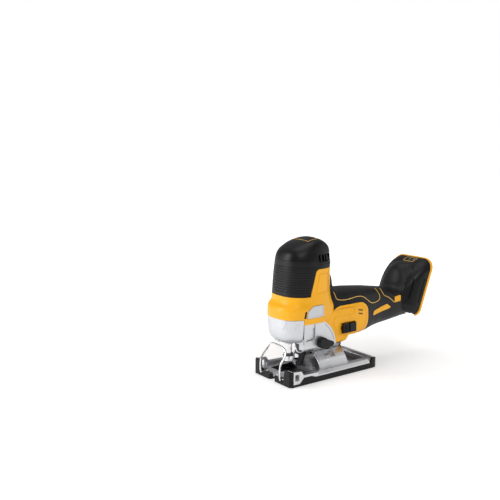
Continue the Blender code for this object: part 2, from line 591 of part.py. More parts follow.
cut(foot, loft("dock_bay", [[dock(d, t, y) for t, y in rrect_tb(-60.0, 34.6, 30.5, 4.0, 13.0)] for d in (-11.5, 5.0)]),
    loft("dock_bay_deep", [[dock(d, t, y) for t, y in rrect_tb(-60.0, 29.0, 28.0, 4.0, 11.0)] for d in (-15.0, -10.0)]),
    dock_box("dock_back", (-22.0, -14.0), (-34.0, 17.2), (-23.0, 23.0)),
    dock_box("dock_well", (-27.0, -21.0), (-34.0, 2.0), (-17.0, 17.0)),
    dock_box("wire_window", (-40.0, -20.0), (-22.0, -4.0), (-16.0, 16.0)))
rim = loft("dock_rim", [[dock(d, t, y) for t, y in rrect_tb(-44.4, 44.4, 37.8, 12.4, 17.5)] for d in (-4.0, 0.0)],
           "yellow_plastic", parts)
cut(rim, loft("rim_mouth", [[dock(d, t, y) for t, y in rrect_tb(-39.4, 38.8, 33.4, 9.0, 13.0)] for d in (-10.0, 5.0)]),
    dock_box("rim_bottom", (-10.0, 5.0), (-60.0, -30.0), (-30.5, 30.5)))
for side, tag in ((-1, "left"), (1, "right")):
    y0 = (side * 25.6, side * 30.2) if side > 0 else (-30.2, -25.6)
    dock_box(f"dock_rail_{tag}", (-8.6, -5.6), (-36.0, 20.5), y0, "black_plastic", parts)
block = dock_box("terminal_block", (-21.0, -15.4), (-6.0, 16.8), (-21.0, 21.0), "black_plastic", parts)
for k in range(4):
    yk = -14.4 + 9.6 * k
    cut(block, dock_box(f"blade_slot_{k}", (-30.0, 0.0), (-4.6, 9.6), (yk - 0.75, yk + 0.75)))
    dock_box(f"terminal_blade_{k + 1}", (-20.0, -8.0), (-4.2, 9.2), (yk - 0.4, yk + 0.4), "contact_brass", parts)

# switch, electronics, dial
slider = box("switch_slider", (95.0, 118.0), (-35.0, -30.4), (56.2, 68.6), "black_plastic", parts)
join(slider, box("slider_tongue", (100.5, 105.0), (-31.0, -25.0), (60.3, 64.7)))
cut(slider, box("slider_groove", (103.6, 107.0), (-40.0, -33.6), (50.0, 72.0)))
box("switch_module", (99.0, 120.0), (-24.4, -15.0), (56.0, 70.0), "black_plastic", parts)
box("controller_board", (108.0, 146.0), (-11.0, 11.0), (74.0, 76.0), "circuit_green", parts)
dial = turned("speed_dial", "y", (208.0, 63.4), [(-5.0, 9.0), (5.0, 9.0)], 24, "yellow_plastic", parts)
cut(handle, box("dial_window", (198.0, 218.0), (-5.6, 5.6), (50.0, 66.0)))

# ================================================================ GEAR HOUSING AND NOSE
nose = loft("nose_cover", [nose_ring(z) for z in [r[0] for r in NOSE]], "cast_alloy", parts)
cut(nose, loft("nose_bore", [nose_ring(z, 2.8) for z in (53.4, 58.0, 64.0, 75.0, 90.0)]),
    box("nose_back", (27.3, 200), (-60, 60), (0, 120)),
    box("nose_opening", (15.6, 40), (-14.3, 14.3), (40, 60)))
SADDLE = [(-31.5, 76.6), (-31.5, 44.0), (-30.0, 42.2), (-20.8, 41.2), (-15.4, 33.9)] + \
         [(SADDLE_R * math.sin(math.radians(a)), BEVEL_Z + SADDLE_R * math.cos(math.radians(a)))
          for a in (-24, -16, -8, 0, 8, 16, 24)] + \
         [(15.4, 33.9), (20.8, 41.2), (30.0, 42.2), (31.5, 44.0), (31.5, 76.6)]
case = prism_x("gearcase", SADDLE, 28.1, 104.0, "cast_alloy", parts)
cut(case, prism_y("case_outline", [(84.4, 41.6), (83.1, 50.0), (81.3, 56.0), (78.6, 61.8), (75.3, 66.6), (70.7, 71.4),
                                   (64.3, 76.7), (64.3, 90), (130, 90), (130, 41.6)], -60, 60),
    box("gear_room", (31.0, 57.4), (-28.4, 28.4), (47.0, 90)),
    box("wiring_room", (65.0, 130), (-28.4, 28.4), (44.0, 90)),
    box("clamp_recess", (20.0, 43.0), (-22.0, 22.0), (20.0, 53.0)),
    box("saddle_front", (20.0, 58.0), (-60, 60), (20.0, 42.4)),
    box("yoke_room", (20.0, 33.0), (-24.0, 24.0), (56.8, 90.0)),
    turned("gear_bearing_seat", "x", (0, GEAR_Z), [(50.0, 8.3), (70.0, 8.3)], 28))
join(case, box("case_floor", (31.0, 43.5), (-28.6, 28.6), (53.2, 56.6)),
     box("rod_boss", (18.0, 32.0), (-12.0, 12.0), (48.6, 56.6)),
     box("arm_lug_left", (46.5, 56.5), (-9.4, -6.8), (33.2, 48.0)),
     box("arm_lug_right", (46.5, 56.5), (6.8, 9.4), (33.2, 48.0)))
cut(case, turned("rod_seat", "z", (ROD_X, 0), [(40.0, 6.8), (70.0, 6.8)], 24),
    turned("arm_pin_hole", "y", (51.5, 38.0), [(-20.0, 2.0), (20.0, 2.0)], 16),
    turned("clamp_bolt_way", "z", (85.0, 0), [(20.0, 2.5), (41.0, 2.5)], 16),
    box("pocket_left", (33.0, 47.0), (-40.0, -30.4), (54.5, 71.0)),
    box("pocket_right", (33.0, 47.0), (30.4, 40.0), (54.5, 71.0)),
    turned("orbit_shaft_hole", "y", (57.0, 50.0), [(-40.0, 3.3), (-20.0, 3.3)], 20))
tube_ring("rod_bushing_lower", "z", (ROD_X, 0), 48.8, 56.4, ROD_R + 0.12, 6.5, 24, "bearing_bronze", parts)
tube_ring("gear_bearing", "x", (0, GEAR_Z), 57.8, 64.8, 4.6, 8.0, 28, "bright_steel", parts)
orbit = turned("orbital_lever", "y", (57.0, 50.0), [(-39.5, 6.2), (-38.6, 7.2), (-33.4, 7.6), (-32.0, 7.2)], 28,
               "black_plastic", parts)
join(orbit, prism_y("orbit_arm", [(56.0, 44.4), (65.0, 43.4), (72.2, 44.0), (74.8, 46.8), (73.2, 50.2), (65.0, 53.2),
                                  (57.0, 57.0)], -38.8, -33.4),
     turned("orbit_stem", "y", (57.0, 50.0), [(-33.0, 3.0), (-24.0, 3.0)], 20))

# ================================================================ BLADE DRIVE
rod = turned("blade_rod", "z", (ROD_X, 0), [(33.0, ROD_R), (113.0, ROD_R)], 24, "bright_steel", parts)
yoke = box("yoke", (ROD_X - 3.0, ROD_X + 9.0), (-19.0, 19.0), (70.0, 79.0))
cut(yoke, box("yoke_slot", (ROD_X + 5.2, 60), (-16.6, 16.6), (71.6, 77.4)))
join(rod, yoke)
clamp = turned("blade_clamp", "z", (ROD_X, 0), [(20.4, 5.2), (21.6, 6.4), (32.6, 6.4)], 24, "dark_steel", parts)
cut(clamp, box("blade_slot", (ROD_X - 4.2, ROD_X + 8.0), (-0.9, 0.9), (10.0, 30.5)))
# release collar with its finger lever
collar = tube_ring("release_lever", "z", (ROD_X, 0), 23.0, 29.6, 6.75, 7.7, 28, "bright_steel", parts)
join(collar, loft("lever_arm", [[(ROD_X + r * math.cos(a) + w * math.sin(a), -r * abs(math.sin(a)) + w * math.cos(a), z0)
                                 for w, z0 in ((-1.0, 27.0), (1.0, 27.0), (1.0, z1), (-1.0, z1))]
                                for r, a, z1 in ((7.2, math.radians(62), 31.6), (9.2, math.radians(57), 33.0),
                                                 (11.2, math.radians(50), 32.2), (13.2, math.radians(42), 30.6))],
                  None, None, False))
arm = loft("guide_arm", [[(x0, y, z) for x0, z in ((48.0, 41.2), (55.2, 42.2), (55.4, 34.4), (46.8, 13.6),
                                                  (39.2, 13.8), (39.8, 21.0))] for y in (-6.3, 6.3)],
           "dark_steel", parts, False)
cut(arm, box("roller_fork", (30.0, 49.2), (-3.1, 3.1), (10.0, 24.0)),
    turned("arm_bore", "y", (51.5, 38.0), [(-10.0, 2.1), (10.0, 2.1)], 16),
    turned("roller_bore", "y", (42.3, 17.2), [(-10.0, 1.6), (10.0, 1.6)], 16))
turned("guide_arm_pin", "y", (51.5, 38.0), [(-9.3, 1.7), (9.3, 1.7)], 16, "bright_steel", parts)
roller = turned("guide_roller", "y", (42.3, 17.2), [(-2.8, 4.3), (-1.2, 4.3), (-0.8, 3.4), (0.8, 3.4), (1.2, 4.3),
                                                    (2.8, 4.3)], 24, "bright_steel", parts)
join(roller, turned("roller_pin", "y", (42.3, 17.2), [(-6.2, 1.3), (6.2, 1.3)], 16))

# ================================================================ SOLE


def sole_plan(x0, x1, hy, r):
    """Plan outline of the sole with rounded rear corners."""
    out = [(x0, hy), (x0, -hy)]
    for cy, a0 in ((-hy + r, -90), (hy - r, 0)):
        out += [(x1 - r + r * math.cos(math.radians(a0 + 15 * i)), cy + r * math.sin(math.radians(a0 + 15 * i)))
                for i in range(7)]
    return out


cover = box("sole_cover", (0.0, SOLE_LEN), (-SOLE_HALF, SOLE_HALF), (0.0, 7.0), "black_plastic", parts)
join(cover, box("corner_near", (0.0, 5.0), (-40.0, -26.5), (1.0, 20.0)),
     box("corner_far", (0.0, 5.0), (26.5, 40.0), (1.0, 20.0)),
     box("clip_near", (14.5, 45.0), (-40.0, -38.5), (1.0, 13.3)), box("clip_far", (14.5, 45.0), (38.5, 40.0), (1.0, 13.3)),
     box("bumper_near", (141.0, SOLE_LEN), (-40.0, -33.0), (1.0, 14.8)),
     box("bumper_far", (141.0, SOLE_LEN), (33.0, 40.0), (1.0, 14.8)))
clips = [(5.2, 20.0), (5.2, 2.7), (16.4, 2.7), (23.0, 9.6), (35.0, 9.6), (43.0, 7.0), (60.0, 7.0), (60.0, 20.0)]
SIDE = [(5.5, 3.1), (16.0, 3.1), (22.6, 10.0), (35.2, 10.0), (43.4, 7.5), (47.0, 7.5), (47.0, RIM_Z), (23.0, 13.2), (18.8, 19.2),
        (5.5, 19.6)]
cut(cover, prism_z("plate_seat", sole_plan(4.0, SOLE_LEN - 2.4, 37.7, SOLE_R - 2.4), COVER_T, 30.0),
    prism_y("clip_shape", clips, -60, 60),
    box("blade_way", (-5.0, 42.0), (-4.0, 4.0), (-5, 30)), box("blade_way_wide", (13.0, 42.0), (-10.6, 10.6), (-5, 30)),
    box("blade_way_side", (18.0, 42.0), (-18.6, 18.6), (-5, 30)),
    box("guard_notch_near", (-5.0, 9.0), (-23.4, -18.6), (3.4, 30)),
    box("guard_notch_far", (-5.0, 9.0), (18.6, 23.4), (3.4, 30)),
    prism_z("vee", [(-3.0, -9.0), (-3.0, 9.0), (7.0, 0.0)], -5, 30),
    prism_y("bumper_round_a", [(149.0, 30.0), (149.0, 14.9), (152.6, 13.9), (155.6, 11.4), (158.1, 7.4), (170, 7.4), (170, 30)], -60, 60),
    prism_y("bumper_round_b", [(130.0, 30.0), (130.0, 7.0), (141.0, 7.0), (145.4, 14.9), (145.4, 30)], -60, 60))
for sy in (-1, 1):
    cut(cover, prism_z(f"front_corner_{sy}", [(-1, sy * 41), (4.2, sy * 41), (-1, sy * 35.6)], -5, 30))
keep(cover, prism_z("cover_plan", sole_plan(-9.0, SOLE_LEN, SOLE_HALF + 0.002, SOLE_R), -5, 30))

PLATE = [(-37.4, 2.5), (-37.4, 7.5), (-39.7, 7.5), (-39.4, 9.2), (-36.4, RIM_Z), (-33.6, RIM_Z), (-32.6, DECK_Z),
         (32.6, DECK_Z), (33.6, RIM_Z), (36.4, RIM_Z), (39.4, 9.2), (39.7, 7.5), (37.4, 7.5), (37.4, 2.5)]
plate = prism_x("sole_plate", PLATE, 45.4, 140.5, "sheet_steel", parts)
join(plate, box("plate_front", (5.4, 47.0), (-37.4, 37.4), (2.5, DECK_Z)),
     prism_z("plate_rear", sole_plan(139.0, SOLE_LEN - 2.8, 37.4, SOLE_R - 2.8), 2.5, DECK_Z),
     box("rear_rim", (151.0, 155.2), (-30.4, 30.4), (6.0, RIM_Z)),
     box("flange_near", (17.0, 46.0), (-37.3, -33.6), (6.0, RIM_Z - 0.1)),
     box("flange_far", (17.0, 46.0), (33.6, 37.3), (6.0, RIM_Z - 0.1)),
     prism_y("side_near", SIDE, -39.5, -36.6), prism_y("side_far", SIDE, 36.6, 39.5))
cut(plate, box("front_opening", (15.0, 55.0), (-22.0, 22.0), (-5, 30)),
    box("tongue_slot", (-5.0, 16.0), (-4.4, 4.4), (-5, 30)),
    box("rear_opening", (122.0, 149.0), (-20.0, 20.0), (-5, 30)),
    box("guard_room_near", (-5.0, 9.3), (-23.4, -18.6), (-5, 30)), box("guard_room_far", (-5.0, 9.3), (18.6, 23.4), (-5, 30)),
    box("fence_slot_near", (8.0, 14.8), (-60, -36.0), (7.4, 16.0)),
    box("fence_slot_far", (8.0, 14.8), (36.0, 60), (7.4, 16.0)),
    prism_y("flange_slope", [(10.0, 30.0), (14.0, 19.0), (18.6, 19.0), (22.0, 13.0), (22.0, 30.0)], -60, 60))
bracket = prism_x("quadrant_bracket",
                  [(r * math.sin(math.radians(a)), BEVEL_Z + r * math.cos(math.radians(a)))
                   for r, angles in ((ARCH_R, [-74 + 7.4 * i for i in range(21)]), (ARCH_R - ARCH_T, [74 - 7.4 * i for i in range(21)]))
                   for a in angles],
                  58.0, 106.0, "sheet_steel", parts)
for sgn, tag in ((-1, "near"), (1, "far")):
    join(bracket, box(f"bracket_foot_{tag}", (58.0, 106.0), (-32.2, -27.0) if sgn < 0 else (27.0, 32.2), (DECK_Z + 0.3, 11.6)))
slot = [(r * math.sin(math.radians(a)), BEVEL_Z + r * math.cos(math.radians(a)))
        for r, angles in ((ARCH_R + 5, range(-50, 51, 10)), (ARCH_R - 8, range(50, -51, -10))) for a in angles]
cut(bracket, prism_x("bevel_slot", slot, 80.5, 89.5))
guard_path = [(6.4, -21, 5.2), (0.6, -21, 5.2), (-2.2, -21, 6.6), (-3.0, -21, 10.0), (-3.0, -21, 18.0), (-2.2, -21, 25.0),
              (1.6, -20.6, 31.0), (6.0, -20.0, 36.0), (8.2, -19.2, 40.0), (8.6, -17.6, 43.4), (8.4, -14.6, 45.6),
              (8.2, -10.0, 47.0), (8.0, -5.0, 47.7), (8.0, 0.0, 47.9)]
guard_path += [(x0, -y0, z0) for x0, y0, z0 in guard_path[-2::-1]]
sweep("wire_guard", guard_path, 1.3, 10, "bright_steel", parts)
# bevel clamp: curved washer inside the bracket, bolt and finger lever
washer = prism_x("bevel_clamp_plate", [(r * math.sin(math.radians(a)), BEVEL_Z + r * math.cos(math.radians(a)))
                 for r, angles in ((ARCH_R - ARCH_T - 0.4, range(-14, 15, 4)), (28.4, range(14, -15, -4))) for a in angles],
                 73.0, 97.0, "dark_steel", parts)
cut(washer, turned("washer_hole", "z", (85.0, 0), [(20.0, 2.5), (41.0, 2.5)], 16))
lever = turned("bevel_lever", "z", (85.0, 0), [(24.6, 5.4), (29.4, 5.4)], 20, "black_plastic", parts)
join(lever, box("lever_arm_low", (84.0, 118.0), (-2.6, 2.6), (26.2, 29.2)),
     prism_y("lever_riser", [(113.6, 26.2), (118.0, 26.2), (120.0, 38.6), (128.6, 39.4), (128.6, 43.0), (116.4, 43.0),
                             (114.6, 36.0)], -3.6, 3.6),
     turned("lever_bolt", "z", (85.0, 0), [(26.0, 1.9), (40.4, 1.9)], 14))

# ================================================================ TRIM
badge_y = {-1: "left", 1: "right"}
BADGE = [(31.2, 85.2), (31.8, 94.6), (40.4, 101.2), (57.4, 101.0), (58.6, 86.0)]
for side, tag in badge_y.items():
    b = prism_y(f"side_badge_{tag}", BADGE, -45 if side < 0 else 2, -2 if side < 0 else 45, "badge_grey", parts)
    skin = loft(f"badge_skin_{tag}", [tower_ring(z, -0.7) for z in (82.0, 84.0, 92.0, 97.0, 99.5, 103.0, 104.0)])
    cut(skin, loft(f"badge_under_{tag}", [tower_ring(z, 1.6) for z in (80.0, 84.0, 92.0, 97.0, 99.5, 103.0, 106.0)]))
    keep(b, skin)
    cut(tower, prism_y(f"badge_room_{tag}", grow(BADGE, 0.3), -45 if side < 0 else 28.0, -28.0 if side < 0 else 45))
# pads that close the tower wall behind the badges
for side, tag in badge_y.items():
    back = loft(f"badge_back_{tag}", [tower_ring(z, 2.0) for z in (83.0, 84.0, 92.0, 97.0, 99.5, 103.0)])
    cut(back, loft(f"badge_back_bore_{tag}", [tower_ring(z, 6.0) for z in (80.0, 84.0, 92.0, 97.0, 99.5, 103.0, 106.0)]))
    keep(back, prism_y(f"badge_back_outline_{tag}", grow(BADGE, 1.2), -45 if side < 0 else 2, -2 if side < 0 else 45))
    join(tower, back)
for k, (x0, z0) in enumerate(((100.0, 84.0), (135.0, 84.4), (132.0, 57.0), (94.0, 50.0))):
    sc = turned(f"housing_screw_{k + 1}", "y", (x0, z0), [(15.4, 1.6), (28.0, 1.6), (28.0, 3.2), (30.0, 3.2)], 14,
                "dark_steel", parts)
    cut(sc, turned(f"screw_socket_{k + 1}", "y", (x0, z0), [(28.8, 1.5), (33.0, 1.5)], 6))
    cut(bpy.data.objects["belly_housing_right"],
        turned(f"screw_way_{k + 1}", "y", (x0, z0), [(10.0, 3.6), (45.0, 3.6)], 14))

# origins on the joint axes
pivot(rotor, MOTOR_X, 0, 130)
pivot(fan, MOTOR_X, 0, 152)
pivot(pinion, MOTOR_X, 0, 90)
pivot(gear, 50, 0, GEAR_Z)
pivot(shaft, 50, 0, GEAR_Z)
pivot(pin, 50, 0, GEAR_Z)
pivot(rod, ROD_X, 0, 60)
pivot(clamp, ROD_X, 0, 28)
pivot(collar, ROD_X, 0, 28)
pivot(arm, 51.5, 0, 38)
pivot(roller, 42.3, 0, 17.2)
pivot(orbit, 57, -36, 50)
pivot(slider, 106.5, -32, 62.4)
pivot(dial, 208, 0, 63.4)
pivot(lever, 85, 0, 27)
for name in ("sole_cover", "sole_plate", "quadrant_bracket", "wire_guard"):
    pivot(bpy.data.objects[name], 80, 0, BEVEL_Z)
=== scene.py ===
"""Looks for the cordless jigsaw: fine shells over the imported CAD, materials, studio."""

import json
import math

import bmesh
import bpy
from mathutils import Matrix, Vector


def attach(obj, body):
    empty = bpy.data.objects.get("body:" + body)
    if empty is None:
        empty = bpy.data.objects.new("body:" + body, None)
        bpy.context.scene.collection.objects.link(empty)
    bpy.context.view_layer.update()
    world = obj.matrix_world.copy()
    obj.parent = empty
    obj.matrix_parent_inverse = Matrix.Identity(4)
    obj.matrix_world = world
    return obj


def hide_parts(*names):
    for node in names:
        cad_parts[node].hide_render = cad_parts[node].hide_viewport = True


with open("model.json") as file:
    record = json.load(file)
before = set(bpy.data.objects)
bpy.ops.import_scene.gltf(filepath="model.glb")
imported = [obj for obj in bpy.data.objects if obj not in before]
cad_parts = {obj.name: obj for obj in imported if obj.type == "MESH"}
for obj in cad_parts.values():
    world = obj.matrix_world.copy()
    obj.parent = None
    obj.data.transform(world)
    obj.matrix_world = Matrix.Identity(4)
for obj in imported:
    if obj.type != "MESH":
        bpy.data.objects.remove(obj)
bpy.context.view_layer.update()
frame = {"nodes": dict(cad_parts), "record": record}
nodes = frame["nodes"]
scene = bpy.context.scene
looks = bpy.data.collections.new("looks")
cutters = bpy.data.collections.new("cutters")
scene.collection.children.link(looks)
scene.collection.children.link(cutters)
cutters.hide_render = True

X_SHIFT = 79.0
RIM_O = (256.9, 98.5)
RIM_U = (0.353, 0.9356)
RIM_N = (0.9356, -0.353)
BEVEL_Z = 2.0


def W(x, y, z):
    return Vector(((x - X_SHIFT) / 1000, y / 1000, z / 1000))


def dock(d, t, y):
    return (RIM_O[0] + d * RIM_N[0] + t * RIM_U[0], y, RIM_O[1] + d * RIM_N[1] + t * RIM_U[1])


# =================================================================== materials
def new_mat(name):
    m = bpy.data.materials.new(name)
    m.use_nodes = True
    nt = m.node_tree
    return m, nt, nt.nodes["Principled BSDF"]


def mottled(name, rgb, rough, metal=0.0, grain=900.0, bump=0.06, tint=0.06, rough_var=0.08, specular=0.5, coat=0.0,
            stretch=None, edge=None, smudge=45.0, dist=0.0002):
    """A moulded or cast surface: slow tint and gloss drift, a fine grain in the bump and, with edge, lighter worn edges."""
    m, nt, b = new_mat(name)
    n = nt.nodes
    k = nt.links
    co = n.new("ShaderNodeTexCoord")
    mp = n.new("ShaderNodeMapping")
    if stretch:
        mp.inputs["Scale"].default_value = stretch
    k.new(co.outputs["Object"], mp.inputs["Vector"])
    slow = n.new("ShaderNodeTexNoise")
    slow.inputs["Scale"].default_value = smudge
    slow.inputs["Detail"].default_value = 5.0
    k.new(co.outputs["Object"], slow.inputs["Vector"])
    fine = n.new("ShaderNodeTexNoise")
    fine.inputs["Scale"].default_value = grain
    fine.inputs["Detail"].default_value = 3.0
    k.new(mp.outputs["Vector"], fine.inputs["Vector"])
    ramp = n.new("ShaderNodeMapRange")
    ramp.inputs["From Min"].default_value = 0.3
    ramp.inputs["From Max"].default_value = 0.7
    k.new(slow.outputs["Fac"], ramp.inputs["Value"])
    mix = n.new("ShaderNodeMix")
    mix.data_type = "RGBA"
    mix.inputs[6].default_value = (*[c * (1 - tint) for c in rgb], 1)
    mix.inputs[7].default_value = (*[min(1, c * (1 + tint)) for c in rgb], 1)
    k.new(ramp.outputs["Result"], mix.inputs[0])
    out = mix.outputs[2]
    if edge:
        geo = n.new("ShaderNodeNewGeometry")
        er = n.new("ShaderNodeMapRange")
        er.inputs["From Min"].default_value = 0.52
        er.inputs["From Max"].default_value = 0.60
        er.inputs["To Max"].default_value = edge[1]
        k.new(geo.outputs["Pointiness"], er.inputs["Value"])
        em = n.new("ShaderNodeMix")
        em.data_type = "RGBA"
        em.inputs[7].default_value = (*edge[0], 1)
        k.new(er.outputs["Result"], em.inputs[0])
        k.new(out, em.inputs[6])
        out = em.outputs[2]
    k.new(out, b.inputs["Base Color"])
    rr = n.new("ShaderNodeMapRange")
    rr.inputs["To Min"].default_value = max(0.02, rough - rough_var)
    rr.inputs["To Max"].default_value = min(1.0, rough + rough_var)
    rr.inputs["From Min"].default_value = 0.25
    rr.inputs["From Max"].default_value = 0.75
    k.new(slow.outputs["Fac"], rr.inputs["Value"])
    k.new(rr.outputs["Result"], b.inputs["Roughness"])
    b.inputs["Metallic"].default_value = metal
    b.inputs["Specular IOR Level"].default_value = specular
    if coat:
        b.inputs["Coat Weight"].default_value = coat
        b.inputs["Coat Roughness"].default_value = 0.25
    bp = n.new("ShaderNodeBump")
    bp.inputs["Strength"].default_value = bump
    bp.inputs["Distance"].default_value = dist
    k.new(fine.outputs["Fac"], bp.inputs["Height"])
    k.new(bp.outputs["Normal"], b.inputs["Normal"])
    return m


MAT = {
    "yellow_plastic": mottled("yellow_plastic_fine", (0.87, 0.405, 0.004), 0.36, grain=1500, bump=0.16, tint=0.03,
                              specular=0.32, coat=0.04),
    "black_overmould": mottled("black_overmould_fine", (0.0050, 0.0050, 0.0054), 0.44, grain=2600, bump=0.4, tint=0.12,
                               specular=0.26),
    "black_plastic": mottled("black_plastic_fine", (0.0042, 0.0042, 0.0046), 0.36, grain=2200, bump=0.3, tint=0.12, specular=0.24),
    "cast_alloy": mottled("cast_alloy_fine", (0.60, 0.61, 0.63), 0.40, metal=0.8, grain=1400, bump=0.35, tint=0.05),
    "sheet_steel": mottled("sheet_steel_fine", (0.66, 0.665, 0.68), 0.30, metal=0.9, grain=700, bump=0.18,
                           stretch=(0.05, 1.0, 1.0), tint=0.05),
    "bright_steel": mottled("bright_steel_fine", (0.74, 0.745, 0.76), 0.16, metal=1.0, grain=900, bump=0.06, tint=0.03,
                            rough_var=0.05),
    "dark_steel": mottled("dark_steel_fine", (0.075, 0.075, 0.08), 0.42, metal=0.85, grain=1300, bump=0.3, tint=0.15),
    "bearing_bronze": mottled("bearing_bronze_fine", (0.45, 0.28, 0.12), 0.38, metal=1.0, grain=1200, bump=0.3),
    "contact_brass": mottled("contact_brass_fine", (0.72, 0.52, 0.22), 0.28, metal=1.0, grain=900, bump=0.08),
    "badge_grey": mottled("badge_grey_fine", (0.55, 0.56, 0.57), 0.34, metal=0.15, grain=1600, bump=0.12, tint=0.03),
    "circuit_green": mottled("circuit_green_fine", (0.02, 0.12, 0.06), 0.4, grain=500, bump=0.2, tint=0.2),
    "pin_orange": mottled("pinstripe_fine", (0.86, 0.50, 0.11), 0.42, grain=1500, bump=0.1, tint=0.04),
    "mark_grey": mottled("mark_grey_fine", (0.34, 0.34, 0.35), 0.5, grain=1500, bump=0.1, tint=0.05),
    # painted shade colour for the dark line along the belly's parting line
    "seam_shadow": mottled("seam_shadow_fine", (0.22, 0.09, 0.006), 0.6, grain=1500, bump=0.1, tint=0.05),
    # seam_dark colours the dark parting line beside the nose, and also the painted shade line under the yellow ring
    "seam_dark": mottled("seam_and_shade_dark_fine", (0.035, 0.035, 0.038), 0.6, grain=1500, bump=0.1, tint=0.08),
    "seam_grey": mottled("seam_grey_fine", (0.16, 0.163, 0.17), 0.5, metal=0.4, grain=1500, bump=0.1, tint=0.05),
    "copper": mottled("winding_copper_fine", (0.55, 0.22, 0.09), 0.32, metal=1.0, grain=600, bump=0.5,
                      stretch=(1, 1, 12)),
}
slots = {s["node"]: s["material_slot"] for s in frame["record"]["subparts"]}
for name, ob in nodes.items():
    ob.data.materials.clear()
    ob.data.materials.append(MAT[slots[name]])

# =================================================================== camera and studio
cam_data = bpy.data.cameras.new("camera")
cam_data.lens = 50.0
cam_data.sensor_width = 36.0
cam_data.clip_start = 0.01
cam = bpy.data.objects.new("camera", cam_data)
scene.collection.objects.link(cam)
az, el = math.radians(35.266), math.radians(8.816)
back = Vector((-math.sin(az) * math.cos(el), -math.cos(az) * math.cos(el), math.sin(el)))
right = Vector((math.cos(az), -math.sin(az), 0))
up = back.cross(right)
rot = Matrix((right, up, back)).transposed().to_4x4()
cam.matrix_world = Matrix.Translation(Vector((-0.6108, -0.7025, 0.3106))) @ rot
scene.camera = cam

scene.view_settings.view_transform = "Standard"
scene.view_settings.exposure = 0.0

bm = bmesh.new()
R, N = 6.0, 48
ring = [bm.verts.new((R * math.cos(2 * math.pi * i / N), R * math.sin(2 * math.pi * i / N), -0.0006)) for i in range(N)]
bm.faces.new(ring)
fm = bpy.data.meshes.new("floor")
bm.to_mesh(fm)
bm.free()
floor = bpy.data.objects.new("floor", fm)
scene.collection.objects.link(floor)
fmat, fnt, fb = new_mat("floor_paper")
fn = fnt.nodes.new("ShaderNodeTexNoise")
fn.inputs["Scale"].default_value = 3.0
fr = fnt.nodes.new("ShaderNodeMapRange")
fr.inputs["To Min"].default_value = 0.88
fr.inputs["To Max"].default_value = 0.92
fnt.links.new(fn.outputs["Fac"], fr.inputs["Value"])
fc = fnt.nodes.new("ShaderNodeCombineColor")
for i in range(3):
    fnt.links.new(fr.outputs["Result"], fc.inputs[i])
fnt.links.new(fc.outputs["Color"], fb.inputs["Base Color"])
fb.inputs["Roughness"].default_value = 0.7
fb.inputs["Specular IOR Level"].default_value = 0.2
# painted light: the flat floor glows, its emission rising from 0.30 near the tool to 0.75 further out, so the sheet
# reads as plain white away from the tool
fco = fnt.nodes.new("ShaderNodeTexCoord")
fln = fnt.nodes.new("ShaderNodeVectorMath")
fln.operation = "LENGTH"
fnt.links.new(fco.outputs["Object"], fln.inputs[0])
floor_glow_ramp = fnt.nodes.new("ShaderNodeMapRange")
floor_glow_ramp.inputs["From Min"].default_value = 0.10
floor_glow_ramp.inputs["From Max"].default_value = 0.55
floor_glow_ramp.inputs["To Min"].default_value = 0.30
floor_glow_ramp.inputs["To Max"].default_value = 0.75
fnt.links.new(fln.outputs["Value"], floor_glow_ramp.inputs["Value"])
fb.inputs["Emission Color"].default_value = (1.0, 1.0, 1.0, 1.0)
fnt.links.new(floor_glow_ramp.outputs["Result"], fb.inputs["Emission Strength"])
floor.data.materials.append(fmat)

world = bpy.data.worlds.new("studio")
scene.world = world
world.use_nodes = True
wb = world.node_tree.nodes["Background"]
wb.inputs["Color"].default_value = (1.0, 1.0, 1.0, 1.0)
wb.inputs["Strength"].default_value = 0.30
# the backdrop itself is seen as white paper, while the light it gives stays soft
wn = world.node_tree
plain = wn.nodes.new("ShaderNodeBackground")
plain.inputs["Color"].default_value = (1.0, 1.0, 1.0, 1.0)
plain.inputs["Strength"].default_value = 1.0
path = wn.nodes.new("ShaderNodeLightPath")
pick = wn.nodes.new("ShaderNodeMixShader")
wn.links.new(path.outputs["Is Camera Ray"], pick.inputs["Fac"])
wn.links.new(wb.outputs["Background"], pick.inputs[1])
wn.links.new(plain.outputs["Background"], pick.inputs[2])
wn.links.new(pick.outputs["Shader"], wn.nodes["World Output"].inputs["Surface"])


def area(name, at, to, size, power, colour=(1, 1, 1), size_y=None):
    l = bpy.data.lights.new(name, "AREA")
    l.energy = power
    l.color = colour
    l.size = size
    if size_y:
        l.shape = "RECTANGLE"
        l.size_y = size_y
    o = bpy.data.objects.new(name, l)
    scene.collection.objects.link(o)
    o.location = at
    o.rotation_euler = (Vector(to) - Vector(at)).to_track_quat("-Z", "Y").to_euler()
    return o


area("key", (-0.55, -1.0, 1.25), (0.02, 0, 0.08), 0.9, 7.4)
area("rim_left", (-1.1, 0.55, 0.55), (0, 0, 0.1), 0.5, 9.0, size_y=1.0)
area("fill_right", (1.3, -0.7, 0.6), (0.05, 0, 0.08), 1.0, 2.8)
area("top", (0.1, 0.15, 1.5), (0.03, 0, 0), 1.0, 5.0)

# =================================================================== geometry helpers
def finish(bm, name, mat=None, coll=None, smooth=True):
    bmesh.ops.recalc_face_normals(bm, faces=bm.faces[:])
    mesh = bpy.data.meshes.new(name)
    bm.to_mesh(mesh)
    bm.free()
    if smooth:
        for p in mesh.polygons:
            p.use_smooth = True
    ob = bpy.data.objects.new(name, mesh)
    (coll or cutters).objects.link(ob)
    if mat:
        mesh.materials.append(MAT[mat])
    if coll is None:
        ob.hide_render = True
        ob.hide_viewport = False
    return ob


